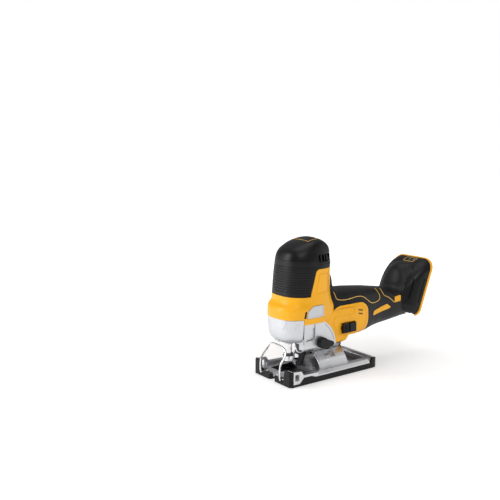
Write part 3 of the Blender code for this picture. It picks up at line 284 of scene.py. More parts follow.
def loft(name, rings, mat=None, coll=None, smooth=True, cap=True):
    bm = bmesh.new()
    rows = [[bm.verts.new(W(*p)) for p in ring] for ring in rings]
    n = len(rows[0])
    for a, b in zip(rows, rows[1:]):
        for i in range(n):
            j = (i + 1) % n
            bm.faces.new((a[i], a[j], b[j], b[i]))
    if cap:
        bm.faces.new(rows[0][::-1])
        bm.faces.new(rows[-1])
    return finish(bm, name, mat, coll, smooth)


def box(name, x, y, z, mat=None, coll=None):
    return loft(name, [[(x[0], y[0], q), (x[1], y[0], q), (x[1], y[1], q), (x[0], y[1], q)] for q in z], mat, coll, False)


def prism_y(name, poly, y0, y1, mat=None, coll=None):
    return loft(name, [[(px, y, pz) for px, pz in poly] for y in (y0, y1)], mat, coll, False)


def prism_x(name, poly, x0, x1, mat=None, coll=None):
    return loft(name, [[(x, py, pz) for py, pz in poly] for x in (x0, x1)], mat, coll, False)


def prism_z(name, poly, z0, z1, mat=None, coll=None):
    return loft(name, [[(px, py, z) for px, py in poly] for z in (z0, z1)], mat, coll, False)


def turned(name, axis, centre, profile, n=48, mat=None, coll=None):
    rings = []
    for s, r in profile:
        ring = []
        for i in range(n):
            a = 2 * math.pi * i / n
            c, q = r * math.cos(a), r * math.sin(a)
            ring.append({"z": (centre[0] + c, centre[1] + q, s), "x": (s, centre[0] + c, centre[1] + q),
                         "y": (centre[0] + c, s, centre[1] + q)}[axis])
        rings.append(ring)
    return loft(name, rings, mat, coll, True)


def wire(name, path, r, mat, n=10, closed=False, flat=None):
    """A round or flattened strand along a smooth path through the points."""
    pts = [Vector(p) for p in path]
    rings = []
    up = None
    m = len(pts)
    for i, p in enumerate(pts):
        if closed:
            t = (pts[(i + 1) % m] - pts[i - 1]).normalized()
        else:
            t = (pts[min(i + 1, m - 1)] - pts[max(i - 1, 0)]).normalized()
        if up is None:
            up = Vector(flat) if flat else t.orthogonal()
        if flat:
            up = Vector(flat)
        up = (up - t * up.dot(t)).normalized()
        side = t.cross(up)
        rings.append([tuple(p + r * (math.cos(2 * math.pi * k / n) * up + math.sin(2 * math.pi * k / n) * side))
                      for k in range(n)])
    if closed:
        bm = bmesh.new()
        rows = [[bm.verts.new(W(*q)) for q in ring] for ring in rings]
        for a, b in zip(rows, rows[1:] + rows[:1]):
            for i in range(n):
                j = (i + 1) % n
                bm.faces.new((a[i], a[j], b[j], b[i]))
        return finish(bm, name, mat, looks)
    return loft(name, rings, mat, looks)


def smooth_path(path, per=6, closed=False):
    """Catmull-Rom points through the path."""
    pts = [Vector(p) for p in path]
    m = len(pts)
    out = []
    for i in range(m if closed else m - 1):
        if closed:
            a, b, c, d = pts[i - 1], pts[i], pts[(i + 1) % m], pts[(i + 2) % m]
        else:
            a, b, c, d = pts[max(i - 1, 0)], pts[i], pts[i + 1], pts[min(i + 2, m - 1)]
        for s in range(per):
            t = s / per
            out.append(tuple(0.5 * ((2 * b) + (c - a) * t + (2 * a - 5 * b + 4 * c - d) * t * t +
                                    (3 * b - a - 3 * c + d) * t ** 3)))
    if not closed:
        out.append(tuple(pts[-1]))
    return out


def boolean(ob, other, op="DIFFERENCE"):
    mod = ob.modifiers.new(op.lower(), "BOOLEAN")
    mod.operation = op
    mod.solver = "MANIFOLD"
    mod.object = other
    return ob


def cut(ob, *others):
    for o in others:
        boolean(ob, o)
    return ob


def join(ob, *others):
    for o in others:
        boolean(ob, o, "UNION")
    return ob


def keep(ob, *others):
    for o in others:
        boolean(ob, o, "INTERSECT")
    return ob


def freeze(ob, drop=()):
    """Applies the modifiers so far, so that later ones see the finished shape."""
    deps = bpy.context.evaluated_depsgraph_get()
    mesh = bpy.data.meshes.new_from_object(ob.evaluated_get(deps))
    mesh.name = ob.name
    old = ob.data
    ob.modifiers.clear()
    ob.data = mesh
    bpy.data.meshes.remove(old)
    return ob


def soften(ob, width=0.45, segments=2, angle=32.0, smooth_angle=40.0):
    """Rounds the sharp edges and smooths the rest."""
    freeze(ob)
    bm = bmesh.new()
    bm.from_mesh(ob.data)
    bmesh.ops.remove_doubles(bm, verts=bm.verts[:], dist=2e-6)
    bmesh.ops.dissolve_degenerate(bm, edges=bm.edges[:], dist=2e-6)
    bmesh.ops.dissolve_limit(bm, angle_limit=math.radians(0.6), verts=bm.verts[:], edges=bm.edges[:])
    bm.to_mesh(ob.data)
    bm.free()
    for p in ob.data.polygons:
        p.use_smooth = True
    ob.data.set_sharp_from_angle(angle=math.radians(smooth_angle))
    mod = ob.modifiers.new("edge", "BEVEL")
    mod.width = width / 1000
    mod.segments = segments
    mod.limit_method = "ANGLE"
    mod.angle_limit = math.radians(angle)
    mod.use_clamp_overlap = True
    mod.harden_normals = False
    wn = ob.modifiers.new("normals", "WEIGHTED_NORMAL")
    wn.keep_sharp = True
    wn.weight = 80
    return ob


def spow(v, e):
    return math.copysign(abs(v) ** e, v)


def oval(xf, xr, hy, n, z, count):
    cx, a = (xf + xr) / 2, (xr - xf) / 2
    return [(cx + a * spow(math.cos(2 * math.pi * i / count), 2 / n),
             hy * spow(math.sin(2 * math.pi * i / count), 2 / n), z) for i in range(count)]


def egg(x, zb, zt, zc, hw, nb, nt, count):
    out = []
    for i in range(count):
        a = 2 * math.pi * i / count
        c, s = math.cos(a), math.sin(a)
        n = nt if s > 0 else nb
        h = (zt - zc) if s > 0 else (zc - zb)
        out.append((x, hw * spow(c, 2 / n), zc + h * spow(s, 2 / n)))
    return out


def table(rows, v):
    """Monotone cubic interpolation, so the skin has no flats between the rows."""
    if v <= rows[0][0]:
        return rows[0][1:]
    if v >= rows[-1][0]:
        return rows[-1][1:]
    i = max(k for k in range(len(rows) - 1) if rows[k][0] <= v)
    h = rows[i + 1][0] - rows[i][0]
    t = (v - rows[i][0]) / h
    out = []
    for c in range(1, len(rows[0])):
        def slope(k):
            return (rows[k + 1][c] - rows[k][c]) / (rows[k + 1][0] - rows[k][0])

        def tangent(k):
            if k == 0:
                return slope(0)
            if k == len(rows) - 1:
                return slope(len(rows) - 2)
            a, b = slope(k - 1), slope(k)
            return 0.0 if a * b <= 0 else 2 * a * b / (a + b)
        p0, p1, m0, m1 = rows[i][c], rows[i + 1][c], tangent(i) * h, tangent(i + 1) * h
        out.append((2 * t ** 3 - 3 * t ** 2 + 1) * p0 + (t ** 3 - 2 * t ** 2 + t) * m0 +
                   (-2 * t ** 3 + 3 * t ** 2) * p1 + (t ** 3 - t ** 2) * m1)
    return tuple(out)


TOWER = [(76.0, 5.0, 94.0, 33.5, 2.7), (84.0, 3.2, 94.0, 35.6, 2.6), (92.0, 3.5, 94.0, 36.0, 2.6),
         (97.0, 4.0, 92.4, 36.0, 2.6), (99.5, 5.2, 90.6, 35.9, 2.6), (103.0, 9.2, 88.0, 35.6, 2.6),
         (106.0, 10.6, 86.8, 35.3, 2.58), (113.4, 10.8, 85.4, 34.6, 2.55), (116.0, 10.8, 85.4, 34.2, 2.5),
         (118.5, 10.9, 85.4, 34.0, 2.5), (130.0, 11.7, 85.3, 33.9, 2.5), (147.0, 13.5, 85.2, 33.5, 2.5),
         (154.5, 14.4, 86.0, 33.0, 2.5), (160.0, 14.9, 86.0, 32.4, 2.45), (166.0, 16.3, 85.8, 31.2, 2.45),
         (172.0, 20.2, 85.4, 29.2, 2.4), (177.0, 28.0, 82.4, 26.6, 2.4), (180.6, 35.7, 78.0, 24.0, 2.35),
         (183.2, 43.4, 73.7, 20.4, 2.3), (185.2, 51.0, 68.4, 14.5, 2.3), (186.4, 55.4, 64.6, 8.5, 2.3),
         (186.9, 58.0, 62.0, 4.0, 2.2)]
REAR = [(60.0, 41.9, 112.0, 70.0, 31.2, 9.0, 3.0), (103.5, 41.9, 112.0, 71.0, 31.6, 8.0, 3.0),
        (110.5, 48.4, 112.0, 72.0, 32.4, 5.0, 2.9), (128.0, 47.8, 111.2, 73.0, 32.4, 4.6, 2.8),
        (142.0, 48.4, 109.8, 75.0, 31.2, 4.2, 2.8), (152.0, 49.6, 108.8, 76.5, 29.6, 3.8, 2.8),
        (164.0, 51.0, 107.6, 78.0, 27.8, 3.4, 2.8), (180.0, 52.6, 105.0, 79.0, 26.8, 3.2, 2.8),
        (196.0, 54.2, 102.6, 79.0, 26.8, 3.2, 2.9), (205.0, 55.2, 101.2, 79.5, 26.6, 3.2, 2.5),
        (211.5, 56.0, 102.8, 79.5, 26.4, 3.3, 2.25), (216.0, 56.6, 105.8, 80.5, 26.2, 3.4, 2.0),
        (219.8, 57.0, 112.2, 81.0, 26.0, 3.4, 1.95), (223.4, 57.4, 119.6, 83.0, 26.4, 3.5, 1.95),
        (227.0, 57.8, 126.8, 86.0, 27.0, 3.6, 1.95), (231.6, 58.4, 131.2, 88.0, 27.8, 3.8, 2.0),
        (238.0, 59.4, 133.8, 92.0, 28.8, 4.0, 2.3), (243.0, 60.4, 134.6, 96.0, 29.6, 4.0, 2.8),
        (262.0, 62.0, 134.6, 98.0, 30.0, 4.0, 4.0)]
DOCK = [(-33.5, -37.0, 0.0, 22.0, 15.0), (-31.5, -40.0, 6.0, 25.5, 17.0), (-27.0, -41.6, 16.5, 29.6, 18.0),
        (-20.0, -42.4, 27.5, 33.6, 18.0), (-12.0, -43.0, 37.2, 36.0, 17.5), (-4.4, -43.4, 42.6, 37.0, 17.0)]
NOSE = [(50.6, 17.0, 21.0, 2.4), (51.6, 12.6, 25.5, 2.5), (54.0, 8.8, 29.0, 2.6), (58.0, 6.2, 31.6, 2.7),
        (64.0, 4.8, 33.0, 2.7), (75.0, 4.3, 33.8, 2.7), (83.7, 4.2, 34.4, 2.7)]
FINE = 96


def tower_ring(z, inset=0.0, count=FINE):
    xf, xr, hy, n = table(TOWER, z)
    return oval(xf + inset, xr - inset, hy - inset, n, z, count)


def rear_ring(x, inset=0.0, count=80):
    zb, zt, zc, hw, nb, nt = table(REAR, x)
    return egg(x, zb + inset, zt - inset, zc, hw - inset, nb, nt, count)


def nose_ring(z, inset=0.0, count=FINE):
    xf, hy, n = table(NOSE, z)
    return oval(xf + inset, 60 + (60 - xf) * 0.55 - inset, hy - inset, n, z, count)


def rrect(a0, a1, hy, r, k=8):
    out = []
    for cx, cy, s0 in ((a1 - r, hy - r, 0), (a0 + r, hy - r, 90), (a0 + r, -hy + r, 180), (a1 - r, -hy + r, 270)):
        for i in range(k + 1):
            a = math.radians(s0 + 90 * i / k)
            out.append((cx + r * math.cos(a), cy + r * math.sin(a)))
    return out


def rrect_tb(a0, a1, hy, rb, rt, k=12):
    out = []
    for cx, cy, s0, r in ((a1 - rt, hy - rt, 0, rt), (a0 + rb, hy - rb, 90, rb), (a0 + rb, -hy + rb, 180, rb),
                          (a1 - rt, -hy + rt, 270, rt)):
        for i in range(k + 1):
            a = math.radians(s0 + 90 * i / k)
            out.append((cx + r * math.cos(a), cy + r * math.sin(a)))
    return out


def dock_ring(d, inset=0.0):
    t0, t1, hw, r = table(DOCK, d)
    rb = 10.0 + min(2.0, (d + 33.5) / 3)
    return [dock(d, t, y) for t, y in rrect_tb(t0 + inset, t1 - inset, hw - inset, max(2.0, rb - inset), max(2.0, r - inset))]


def dock_box(name, d, t, y, mat=None, coll=None):
    return loft(name, [[dock(q, t[0], y[0]), dock(q, t[1], y[0]), dock(q, t[1], y[1]), dock(q, t[0], y[1])]
                       for q in d], mat, coll, False)


def tower_y(x, z, inset=0.0):
    """Half width of the tower's skin at x, z."""
    xf, xr, hy, n = table(TOWER, z)
    cx, a = (xf + xr) / 2, (xr - xf) / 2
    u = min(1.0, abs((x - cx) / (a - inset)))
    return (hy - inset) * (1 - u ** n) ** (1 / n)


def rear_y(x, z, inset=0.0):
    zb, zt, zc, hw, nb, nt = table(REAR, x)
    n = nt if z > zc else nb
    h = (zt - zc - inset) if z > zc else (zc - zb - inset)
    u = min(1.0, abs(z - zc) / h)
    return (hw - inset) * (1 - u ** n) ** (1 / n)


def nose_y(x, z):
    xf, hy, n = table(NOSE, z)
    xr = 60 + (60 - xf) * 0.55
    cx, a = (xf + xr) / 2, (xr - xf) / 2
    u = min(1.0, abs((x - cx) / a))
    return hy * (1 - u ** n) ** (1 / n)


def grow(poly, d):
    area2 = sum(p[0] * q[1] - q[0] * p[1] for p, q in zip(poly, poly[1:] + poly[:1]))
    s = 1 if area2 > 0 else -1
    out = []
    for i, p in enumerate(poly):
        a, b = poly[i - 1], poly[(i + 1) % len(poly)]
        u = Vector((p[0] - a[0], p[1] - a[1])).normalized()
        v = Vector((b[0] - p[0], b[1] - p[1])).normalized()
        n = Vector((u.y + v.y, -u.x - v.x)) * s
        n.normalize()
        k = d / max(0.4, n.dot(Vector((u.y, -u.x)) * s))
        out.append((p[0] + n.x * k, p[1] + n.y * k))
    return out


def rounded(poly, r, k=5):
    """The outline with each corner replaced by an arc-like curve of about radius r."""
    out = []
    m = len(poly)
    for i in range(m):
        p, a, b = Vector(poly[i]), Vector(poly[i - 1]), Vector(poly[(i + 1) % m])
        ra = min(r, (a - p).length * 0.45)
        rb = min(r, (b - p).length * 0.45)
        s, e = p + (a - p).normalized() * ra, p + (b - p).normalized() * rb
        for j in range(k + 1):
            t = j / k
            q = s * (1 - t) ** 2 + p * 2 * t * (1 - t) + e * t * t
            out.append((q.x, q.y))
    return out


def spans(a, b, step):
    n = max(1, round((b - a) / step))
    return [a + (b - a) * i / n for i in range(n + 1)]


def on_rear(path, side, lift=0.0, per=5):
    """Side-view points laid on the rear body's skin."""
    return [(x, side * (rear_y(x, z) + lift), z) for x, _, z in smooth_path([(x, 0, z) for x, z in path], per)]


def on_tower(path, side, lift=0.0, per=5, closed=False):
    return [(x, side * (tower_y(x, z) + lift), z) for x, _, z in smooth_path([(x, 0, z) for x, z in path], per, closed)]


def put(ob, body, slot, *replaced):
    if replaced:
        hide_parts(*replaced)
    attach(ob, body)
    return ob


SEAM = [(64.6, 77.0), (72.0, 82.9), (79.5, 88.3), (86.0, 91.6), (93.0, 93.4)]
ARC = [(64.6, 77.0), (71.0, 71.4), (75.6, 66.6), (78.9, 61.8), (81.6, 56.0), (83.4, 50.0), (84.7, 41.8)]
BELLY_TOP = [(93.0, 93.4), (115.0, 93.6), (131.0, 93.5), (137.4, 91.2), (141.6, 87.0), (143.8, 81.5)]
BELLY_LOW = [(144.4, 72.0), (143.4, 62.5), (140.0, 54.5), (134.8, 48.5), (130.5, 44.0)]


def curve2(pts, per=5):
    return [(p[0], p[2]) for p in smooth_path([(x, 0, z) for x, z in pts], per)]


SEAM_F = curve2(SEAM)
ARC_F = curve2(ARC)
TOP_F = curve2(BELLY_TOP + BELLY_LOW)
BELLY = ARC_F[::-1] + SEAM_F[1:] + TOP_F[1:] + [(109.5, 44.0), (103.4, 41.9)]
COLUMN = [(36.6, 112.0), (47.0, 148.4), (110.0, 148.4), (110.0, 112.0)]
COLUMN_F = [(36.6, 112.0)] + rounded([(33.2, 100.0), (47.0, 148.4), (110.0, 148.4)], 5.5)[6:12] + [(110.0, 148.4), (110.0, 112.0)]

# =================================================================== tower
tower = loft("tower_housing_fine", [tower_ring(z) for z in spans(76.0, 113.1, 2.2)] + [tower_ring(113.1, 3.2)] +
             [tower_ring(z, 3.2) for z in spans(113.6, 153.9, 5.0)], "yellow_plastic", looks)
column = loft("column_fine", [tower_ring(z, 0.03) for z in spans(108.0, 152.0, 3.0)])
keep(column, prism_y("column_outline_f", grow(COLUMN_F, -0.2), -60, 60))
join(tower, column)
cut(tower, loft("tower_bore_f", [tower_ring(z, 6.2) for z in spans(70.0, 112.0, 7.0)] +
                [tower_ring(z, 6.4) for z in spans(116.0, 154.5, 7.0)]),
    prism_y("nose_seat_f", [(-20, 60), (-20, 84.0), (27.6, 84.0), (27.6, 77.0), (64.3, 77.0), *SEAM_F[1:], (96.0, 93.9),
                            (120, 93.9), (120, 60)], -60, 60))
BADGE = [(31.2, 85.2), (31.8, 94.6), (40.4, 101.2), (57.4, 101.0), (58.6, 86.0)]
for side, tag in ((-1, "left"), (1, "right")):
    lo, hi = (-45, -33.0) if side < 0 else (33.0, 45)
    cut(tower, prism_y(f"badge_room_f_{tag}", rounded(grow(BADGE, 0.45), 2.0), lo, hi))
    # sunk panel on the column
    panel = rounded([(44.0, 117.0), (51.4, 142.4), (69.4, 142.4), (68.6, 117.0)], 2.5)
    ring_out = prism_y(f"panel_out_{tag}", panel, -60 if side < 0 else 0, 0 if side < 0 else 60)
    skin = loft(f"panel_skin_{tag}", [tower_ring(z, 0.45) for z in spans(110.0, 148.0, 3.0)])
    cut(ring_out, skin)
    inner = prism_y(f"panel_in_{tag}", grow(panel, -1.1), -60 if side < 0 else 0, 0 if side < 0 else 60)
    cut(ring_out, inner)
    cut(tower, ring_out)
soften(tower, 0.5, 2, 34)
put(tower, "housing", "yellow_plastic", "tower_housing")

steps = [(113.4, 0.0), (115.0, 0.0), (116.6, 0.0), (118.2, 0.0)]
for i in range(11):
    z = 119.0 + 3.2 * i
    steps += [(z, 0.0), (z + 0.22, 0.14), (z + 0.42, 0.6), (z + 1.18, 0.6), (z + 1.38, 0.14), (z + 1.6, 0.0)]
steps += [(154.4, 0.0), (157.0, 0.0), (159.0, 0.0), (159.7, 0.0)]


def ribbed_ring(z, inset, count=128):
    """The grooves die out before the sleeve meets the yellow column."""
    xf, xr, hy, n = table(TOWER, z)
    plain = oval(xf, xr, hy, n, z, count)
    deep = oval(xf + inset, xr - inset, hy - inset, n, z, count)
    edge = 36.6 + (z - 112.0) * 0.286
    out = []
    for p, q in zip(plain, deep):
        limit = edge - 3.0 if z < 147 else 60.0
        w = max(0.0, min(1.0, (limit - p[0]) / 2.0 + 0.5))
        out.append((p[0] + (q[0] - p[0]) * w, p[1] + (q[1] - p[1]) * w, z))
    return out


grip = loft("tower_grip_fine", [ribbed_ring(z, i) for z, i in steps], "black_overmould", looks)
cut(grip, loft("grip_bore_f", [tower_ring(z, 2.8) for z in spans(105.0, 162.0, 3.8)]),
    prism_y("grip_window_f", grow(COLUMN_F, 0.05)[:-2] + [(110.0, 148.45), (110.0, 100.0), (33.2, 100.0)], -60, 60),
    box("cap_step_seat_f", (45.7, 120), (-60, 60), (154.2, 170)))
soften(grip, 0.3, 2, 50, 55)
put(grip, "housing", "black_overmould", "tower_grip")

cap = loft("tower_cap_fine", [tower_ring(z) for z in spans(154.5, 176.0, 1.8) + spans(177.2, 184.4, 0.9) +
                              [185.0, 185.6, 186.1, 186.5, 186.75, 186.9]], "black_plastic", looks)
cut(cap, loft("cap_bore_f", [tower_ring(z, 2.6) for z in spans(150.0, 177.0, 3.0)] + [tower_ring(180.6, 4.0)]),
    prism_y("cap_front_seat_f", [(-20, 140), (-20, 160), (42, 160), (44.6, 159.0), (45.6, 156.5), (45.8, 154.0), (46, 140)],
            -60, 60))
for side, tag in ((-1, "left"), (1, "right")):
    y0 = (-50, -14) if side < 0 else (14, 50)
    win = rounded([(52, 156.5), (52, 166.5), (80, 166.5), (80, 156.5)], 2.2)
    cut(cap, prism_y(f"window_f_{tag}", win, *y0))
    # shallow step round the window
    frame_cut = prism_y(f"window_step_{tag}", grow(win, 2.2), *y0)
    cut(frame_cut, loft(f"window_step_skin_{tag}", [tower_ring(z, 0.8) for z in spans(150.0, 174.0, 3.0)]))
    cut(cap, frame_cut)
soften(cap, 0.5, 3, 34)
put(cap, "housing", "black_plastic", "tower_cap")


def top_at(x, y):
    """Height of the cap's skin over a point, by bisection on the plan outline."""
    lo, hi = 160.0, 186.9
    for _ in range(40):
        mid = (lo + hi) / 2
        xf, xr, hy, n = table(TOWER, mid)
        cx, a = (xf + xr) / 2, (xr - xf) / 2
        inside = (abs((x - cx) / a) ** n + abs(y / hy) ** n) < 1
        if inside:
            lo = mid
        else:
            hi = mid
    return lo


# plain outlined plate on the crown, without lettering
outline = rounded([(46.5, -15.0), (62.0, -15.0), (62.0, 15.0), (46.5, 15.0)], 1.2, 4)
dense = []
for p, q in zip(outline, outline[1:] + outline[:1]):
    for s in range(3):
        dense.append((p[0] + (q[0] - p[0]) * s / 3, p[1] + (q[1] - p[1]) * s / 3))
line = wire("crown_outline", [(x, y, min(186.46, top_at(x, y) - 0.18)) for x, y in dense], 0.42, "pin_orange", 8, True)
put(line, "housing", "yellow_plastic")

# =================================================================== badges, blank with a plain rim
for side, tag in ((-1, "left"), (1, "right")):
    pad = prism_y(f"side_badge_fine_{tag}", rounded(BADGE, 2.0), -45 if side < 0 else 2, -2 if side < 0 else 45,
                  "badge_grey", looks)
    keep(pad, loft(f"badge_skin_f_{tag}", [tower_ring(z, -0.55) for z in spans(82.0, 104.0, 2.2)]))
    cut(pad, loft(f"badge_under_f_{tag}", [tower_ring(z, 1.6) for z in spans(82.0, 104.0, 2.2)]))
    field = prism_y(f"badge_field_{tag}", rounded(grow(BADGE, -1.3), 1.4), -60 if side < 0 else 2, -2 if side < 0 else 60)
    cut(field, loft(f"badge_field_skin_{tag}", [tower_ring(z, -0.2) for z in spans(80.0, 106.0, 2.2)]))
    cut(pad, field)
    soften(pad, 0.25, 2, 34)
    put(pad, "housing", "badge_grey", f"side_badge_{tag}")
    # painted shade: a flush black patch beside each badge stands for the dark slot there, in place of a cut
    mark = prism_y(f"badge_slot_shade_{tag}", rounded([(26.6, 86.0), (28.4, 95.0), (30.6, 95.4), (29.4, 86.0)], 0.6),
                   -45 if side < 0 else 2, -2 if side < 0 else 45, "black_plastic", looks)
    keep(mark, loft(f"notch_skin_{tag}", [tower_ring(z, -0.12) for z in spans(80.0, 104.0, 2.2)]))
    cut(mark, loft(f"notch_under_{tag}", [tower_ring(z, 0.8) for z in spans(80.0, 104.0, 2.2)]))
    freeze(mark)
    put(mark, "housing", "black_plastic")

# =================================================================== nose and gear case
nose = loft("nose_cover_fine", [nose_ring(z) for z in [50.6, 50.9, 51.3, 51.9, 52.8, 54.0, 55.6, 57.6, 60.0, 63.0] +
                                spans(66.0, 83.7, 3.0)], "cast_alloy", looks)
cut(nose, loft("nose_bore_f", [nose_ring(z, 2.8) for z in spans(53.4, 90.0, 3.4)]),
    box("nose_back_f", (27.3, 200), (-60, 60), (0, 120)),
    prism_z("nose_opening_f", rounded([(15.6, -14.3), (40, -14.3), (40, 14.3), (15.6, 14.3)], 4.0), 40, 60))
# plain slanted ribs pressed into the nose; the painted shade line under the yellow ring is drawn with the gear case
# lines further down
for side in (-1, 1):
    for k in range(6):
        x0 = 6.2 + 2.5 * k
        path = [(x0, 71.0), (x0 + 1.3, 76.5), (x0 + 2.2, 80.0)]
        rib = wire(f"nose_rib_{'l' if side < 0 else 'r'}{k}",
                   [(x, side * (nose_y(x, z) - 0.1), z) for x, _, z in smooth_path([(x, 0, z) for x, z in path], 4)],
                   0.5, "cast_alloy", 8)
        put(rib, "housing", "cast_alloy")
soften(nose, 0.5, 2, 34)
put(nose, "housing", "cast_alloy", "nose_cover")

# =================================================================== belly shells
XS = spans(60.0, 164.0, 2.6)
for side, tag in ((-1, "left"), (1, "right")):
    belly = loft(f"belly_fine_{tag}", [rear_ring(x) for x in XS], "yellow_plastic", looks)
    keep(belly, prism_y(f"belly_outline_f_{tag}", BELLY, -60, 60),
         box(f"belly_half_f_{tag}", (40, 290), (0.12, 60) if side > 0 else (-60, -0.12), (0, 190)))
    cut(belly, loft(f"belly_bore_f_{tag}", [rear_ring(x, 2.8, 48) for x in spans(60.0, 164.0, 5.2)]),
        box(f"belly_clear_f_{tag}", (40, 93.2), (-29.0, 29.0), (30, 100)),
        box(f"belly_core_f_{tag}", (60, 165), (-14, 14), (52, 93.0)))
    # sunk line that frames the flank panel, and the narrower blank plate above the switch
    flank = rounded([(97.0, 51.5), (86.6, 58.0), (78.0, 72.0), (84.0, 86.6), (95.0, 90.6), (133.0, 90.4), (140.4, 82.0),
                     (139.8, 66.0), (132.6, 52.5)], 6.0)
    y0 = (-60, -4) if side < 0 else (4, 60)
    groove = prism_y(f"flank_out_{tag}", flank, *y0)
    cut(groove, loft(f"flank_skin_{tag}", [rear_ring(x, 0.4) for x in XS]),
        prism_y(f"flank_in_{tag}", grow(flank, -0.7), *(-61, -3) if side < 0 else (3, 61)))
    cut(belly, groove)
    plate = rounded([(80.5, 79.5), (86.5, 88.6), (117.0, 88.6), (117.0, 79.5)], 1.8)
    sink = prism_y(f"plate_out_{tag}", plate, *y0)
    cut(sink, loft(f"plate_skin_{tag}", [rear_ring(x, 0.5) for x in XS]))
    cut(belly, sink)
    if side < 0:
        join(belly, box("switch_backing_f", (85.0, 122.0), (-31.0, -27.4), (51.6, 73.4)))
        cut(belly, prism_y("switch_recess_f", rounded([(88.4, 54.6), (88.4, 70.4), (118.6, 70.4), (118.6, 54.6)], 2.4),
                           -60, -30.0),
            box("switch_slot_f", (94.0, 105.6), (-40, -20), (59.5, 65.5)))
    else:
        for k, (x0, z0) in enumerate(((100.0, 84.0), (135.0, 84.4), (132.0, 57.0), (94.0, 50.0))):
            cut(belly, turned(f"screw_way_f_{k}", "y", (x0, z0), [(10.0, 3.6), (45.0, 3.6)], 32))
    soften(belly, 0.4, 2, 34)
    put(belly, "housing", "yellow_plastic", f"belly_housing_{tag}")
    for k in range(2):
        z0 = 84.4 - 5.0 * k
        dash = wire(f"flank_mark_{tag}_{k}", on_rear([(124.4, z0), (128.0, z0 - 0.8), (131.6, z0 - 1.7)], side, 0.0, 3),
                    0.75, "black_plastic", 8)
        put(dash, "housing", "black_plastic")

# =================================================================== neck and handle sleeve
XH = spans(80.0, 262.0, 2.6)
handle = loft("handle_fine", [rear_ring(x) for x in XH], "black_overmould", looks)
WEB = [(98.0, 104.0, 16.0), (109.6, 104.0, 16.0), (113.0, 98.4, 16.0), (116.6, 94.4, 16.0), (120.5, 92.8, 16.0),
       (127.0, 91.8, 16.0), (133.0, 90.2, 15.6), (138.6, 87.6, 14.6), (141.6, 85.9, 13.6)]
web = loft("tower_web_f", [[(x, y, z) for x, y in rrect(76.0, xr, hy, 6.0)] for z, xr, hy in WEB])
join(handle, web)
cut(handle, box("front_trim_f", (70.0, 88.0), (-60.0, 60.0), (30.0, 76.0)),
    prism_y("belly_room_f", grow(BELLY, 0.3)[:-3] + [(109.5, 30.0), (60.0, 30.0), (60.0, 80.0)], -60, 60),
    loft("tower_room_f", [tower_ring(z, -0.45) for z in spans(60.0, 150.0, 5.0)]),
    loft("handle_bore_f", [rear_ring(x, 3.2, 48) for x in spans(150.5, 240.0, 5.0)]),
    loft("handle_nose_bore_f", [rear_ring(x, 3.4, 48) for x in spans(99.5, 151.0, 6.0)]),
    loft("dock_room_f", [dock_ring(d, -0.3) for d in (-33.8, -31.5, -27.0, -20.0, -12.0, 30.0)]))
INLAY = [(155.8, 70.8), (157.2, 77.0), (185.2, 83.4), (192.8, 78.0), (190.6, 76.4)]
TAG = [(200.6, 83.2), (202.4, 90.8), (216.2, 91.8), (213.4, 83.9)]
for side, tag in ((-1, "left"), (1, "right")):
    y0 = (-45, -2) if side < 0 else (2, 45)
    for nm, poly, r in (("handle_inlay", INLAY, 2.2), ("foot_tag", TAG, 1.2)):
        skin = rounded(poly, r)
        pocket = prism_y(f"{nm}_pocket_{tag}", grow(skin, 0.3), *y0)
        cut(pocket, loft(f"{nm}_floor_{tag}", [rear_ring(x, 1.9, 64) for x in spans(150.5, 222.0, 2.6)]))
        cut(handle, pocket)
        pad = prism_y(f"{nm}_fine_{tag}", skin, *y0, "yellow_plastic", looks)
        keep(pad, loft(f"{nm}_skin_{tag}", [rear_ring(x, -0.15, 80) for x in spans(150.0, 222.0, 2.4)]))
        cut(pad, loft(f"{nm}_under_{tag}", [rear_ring(x, 1.6, 64) for x in spans(148.0, 224.0, 2.4)]))
        soften(pad, 0.3, 2, 34)
        put(pad, "housing", "yellow_plastic", f"{nm}_{tag}")
cut(handle, box("wiring_way_f", (90, 112), (-9, 9), (97.5, 106)), box("dial_window_f", (198.0, 218.0), (-5.6, 5.6), (50.0, 66.0)))
soften(handle, 0.5, 3, 34)
put(handle, "housing", "black_overmould", "handle_grip")

# thin inlaid lines over the neck, mirrored on the far side
PIN1 = [(93.4, 112.0), (91.0, 108.6), (89.4, 105.0), (89.8, 102.4), (93.6, 101.0), (103.0, 100.0), (115.0, 100.7), (128.6, 101.4), (137.3, 99.8),
        (143.6, 95.6), (149.5, 90.9), (156.6, 88.9), (166.1, 89.9), (171.0, 92.6), (172.7, 97.5), (172.4, 101.6), (174.0, 104.9)]
PIN2 = [(184.2, 103.4), (181.2, 100.2), (182.1, 95.9), (189.2, 92.1), (194.9, 87.9), (200.2, 83.2)]
for side, tag in ((-1, "left"), (1, "right")):
    for nm, pts in (("pinstripe_front", PIN1), ("pinstripe_rear", PIN2)):
        ob = wire(f"{nm}_{tag}", on_rear(pts, side, -0.12, 6), 0.48, "pin_orange", 8)
        put(ob, "housing", "yellow_plastic")

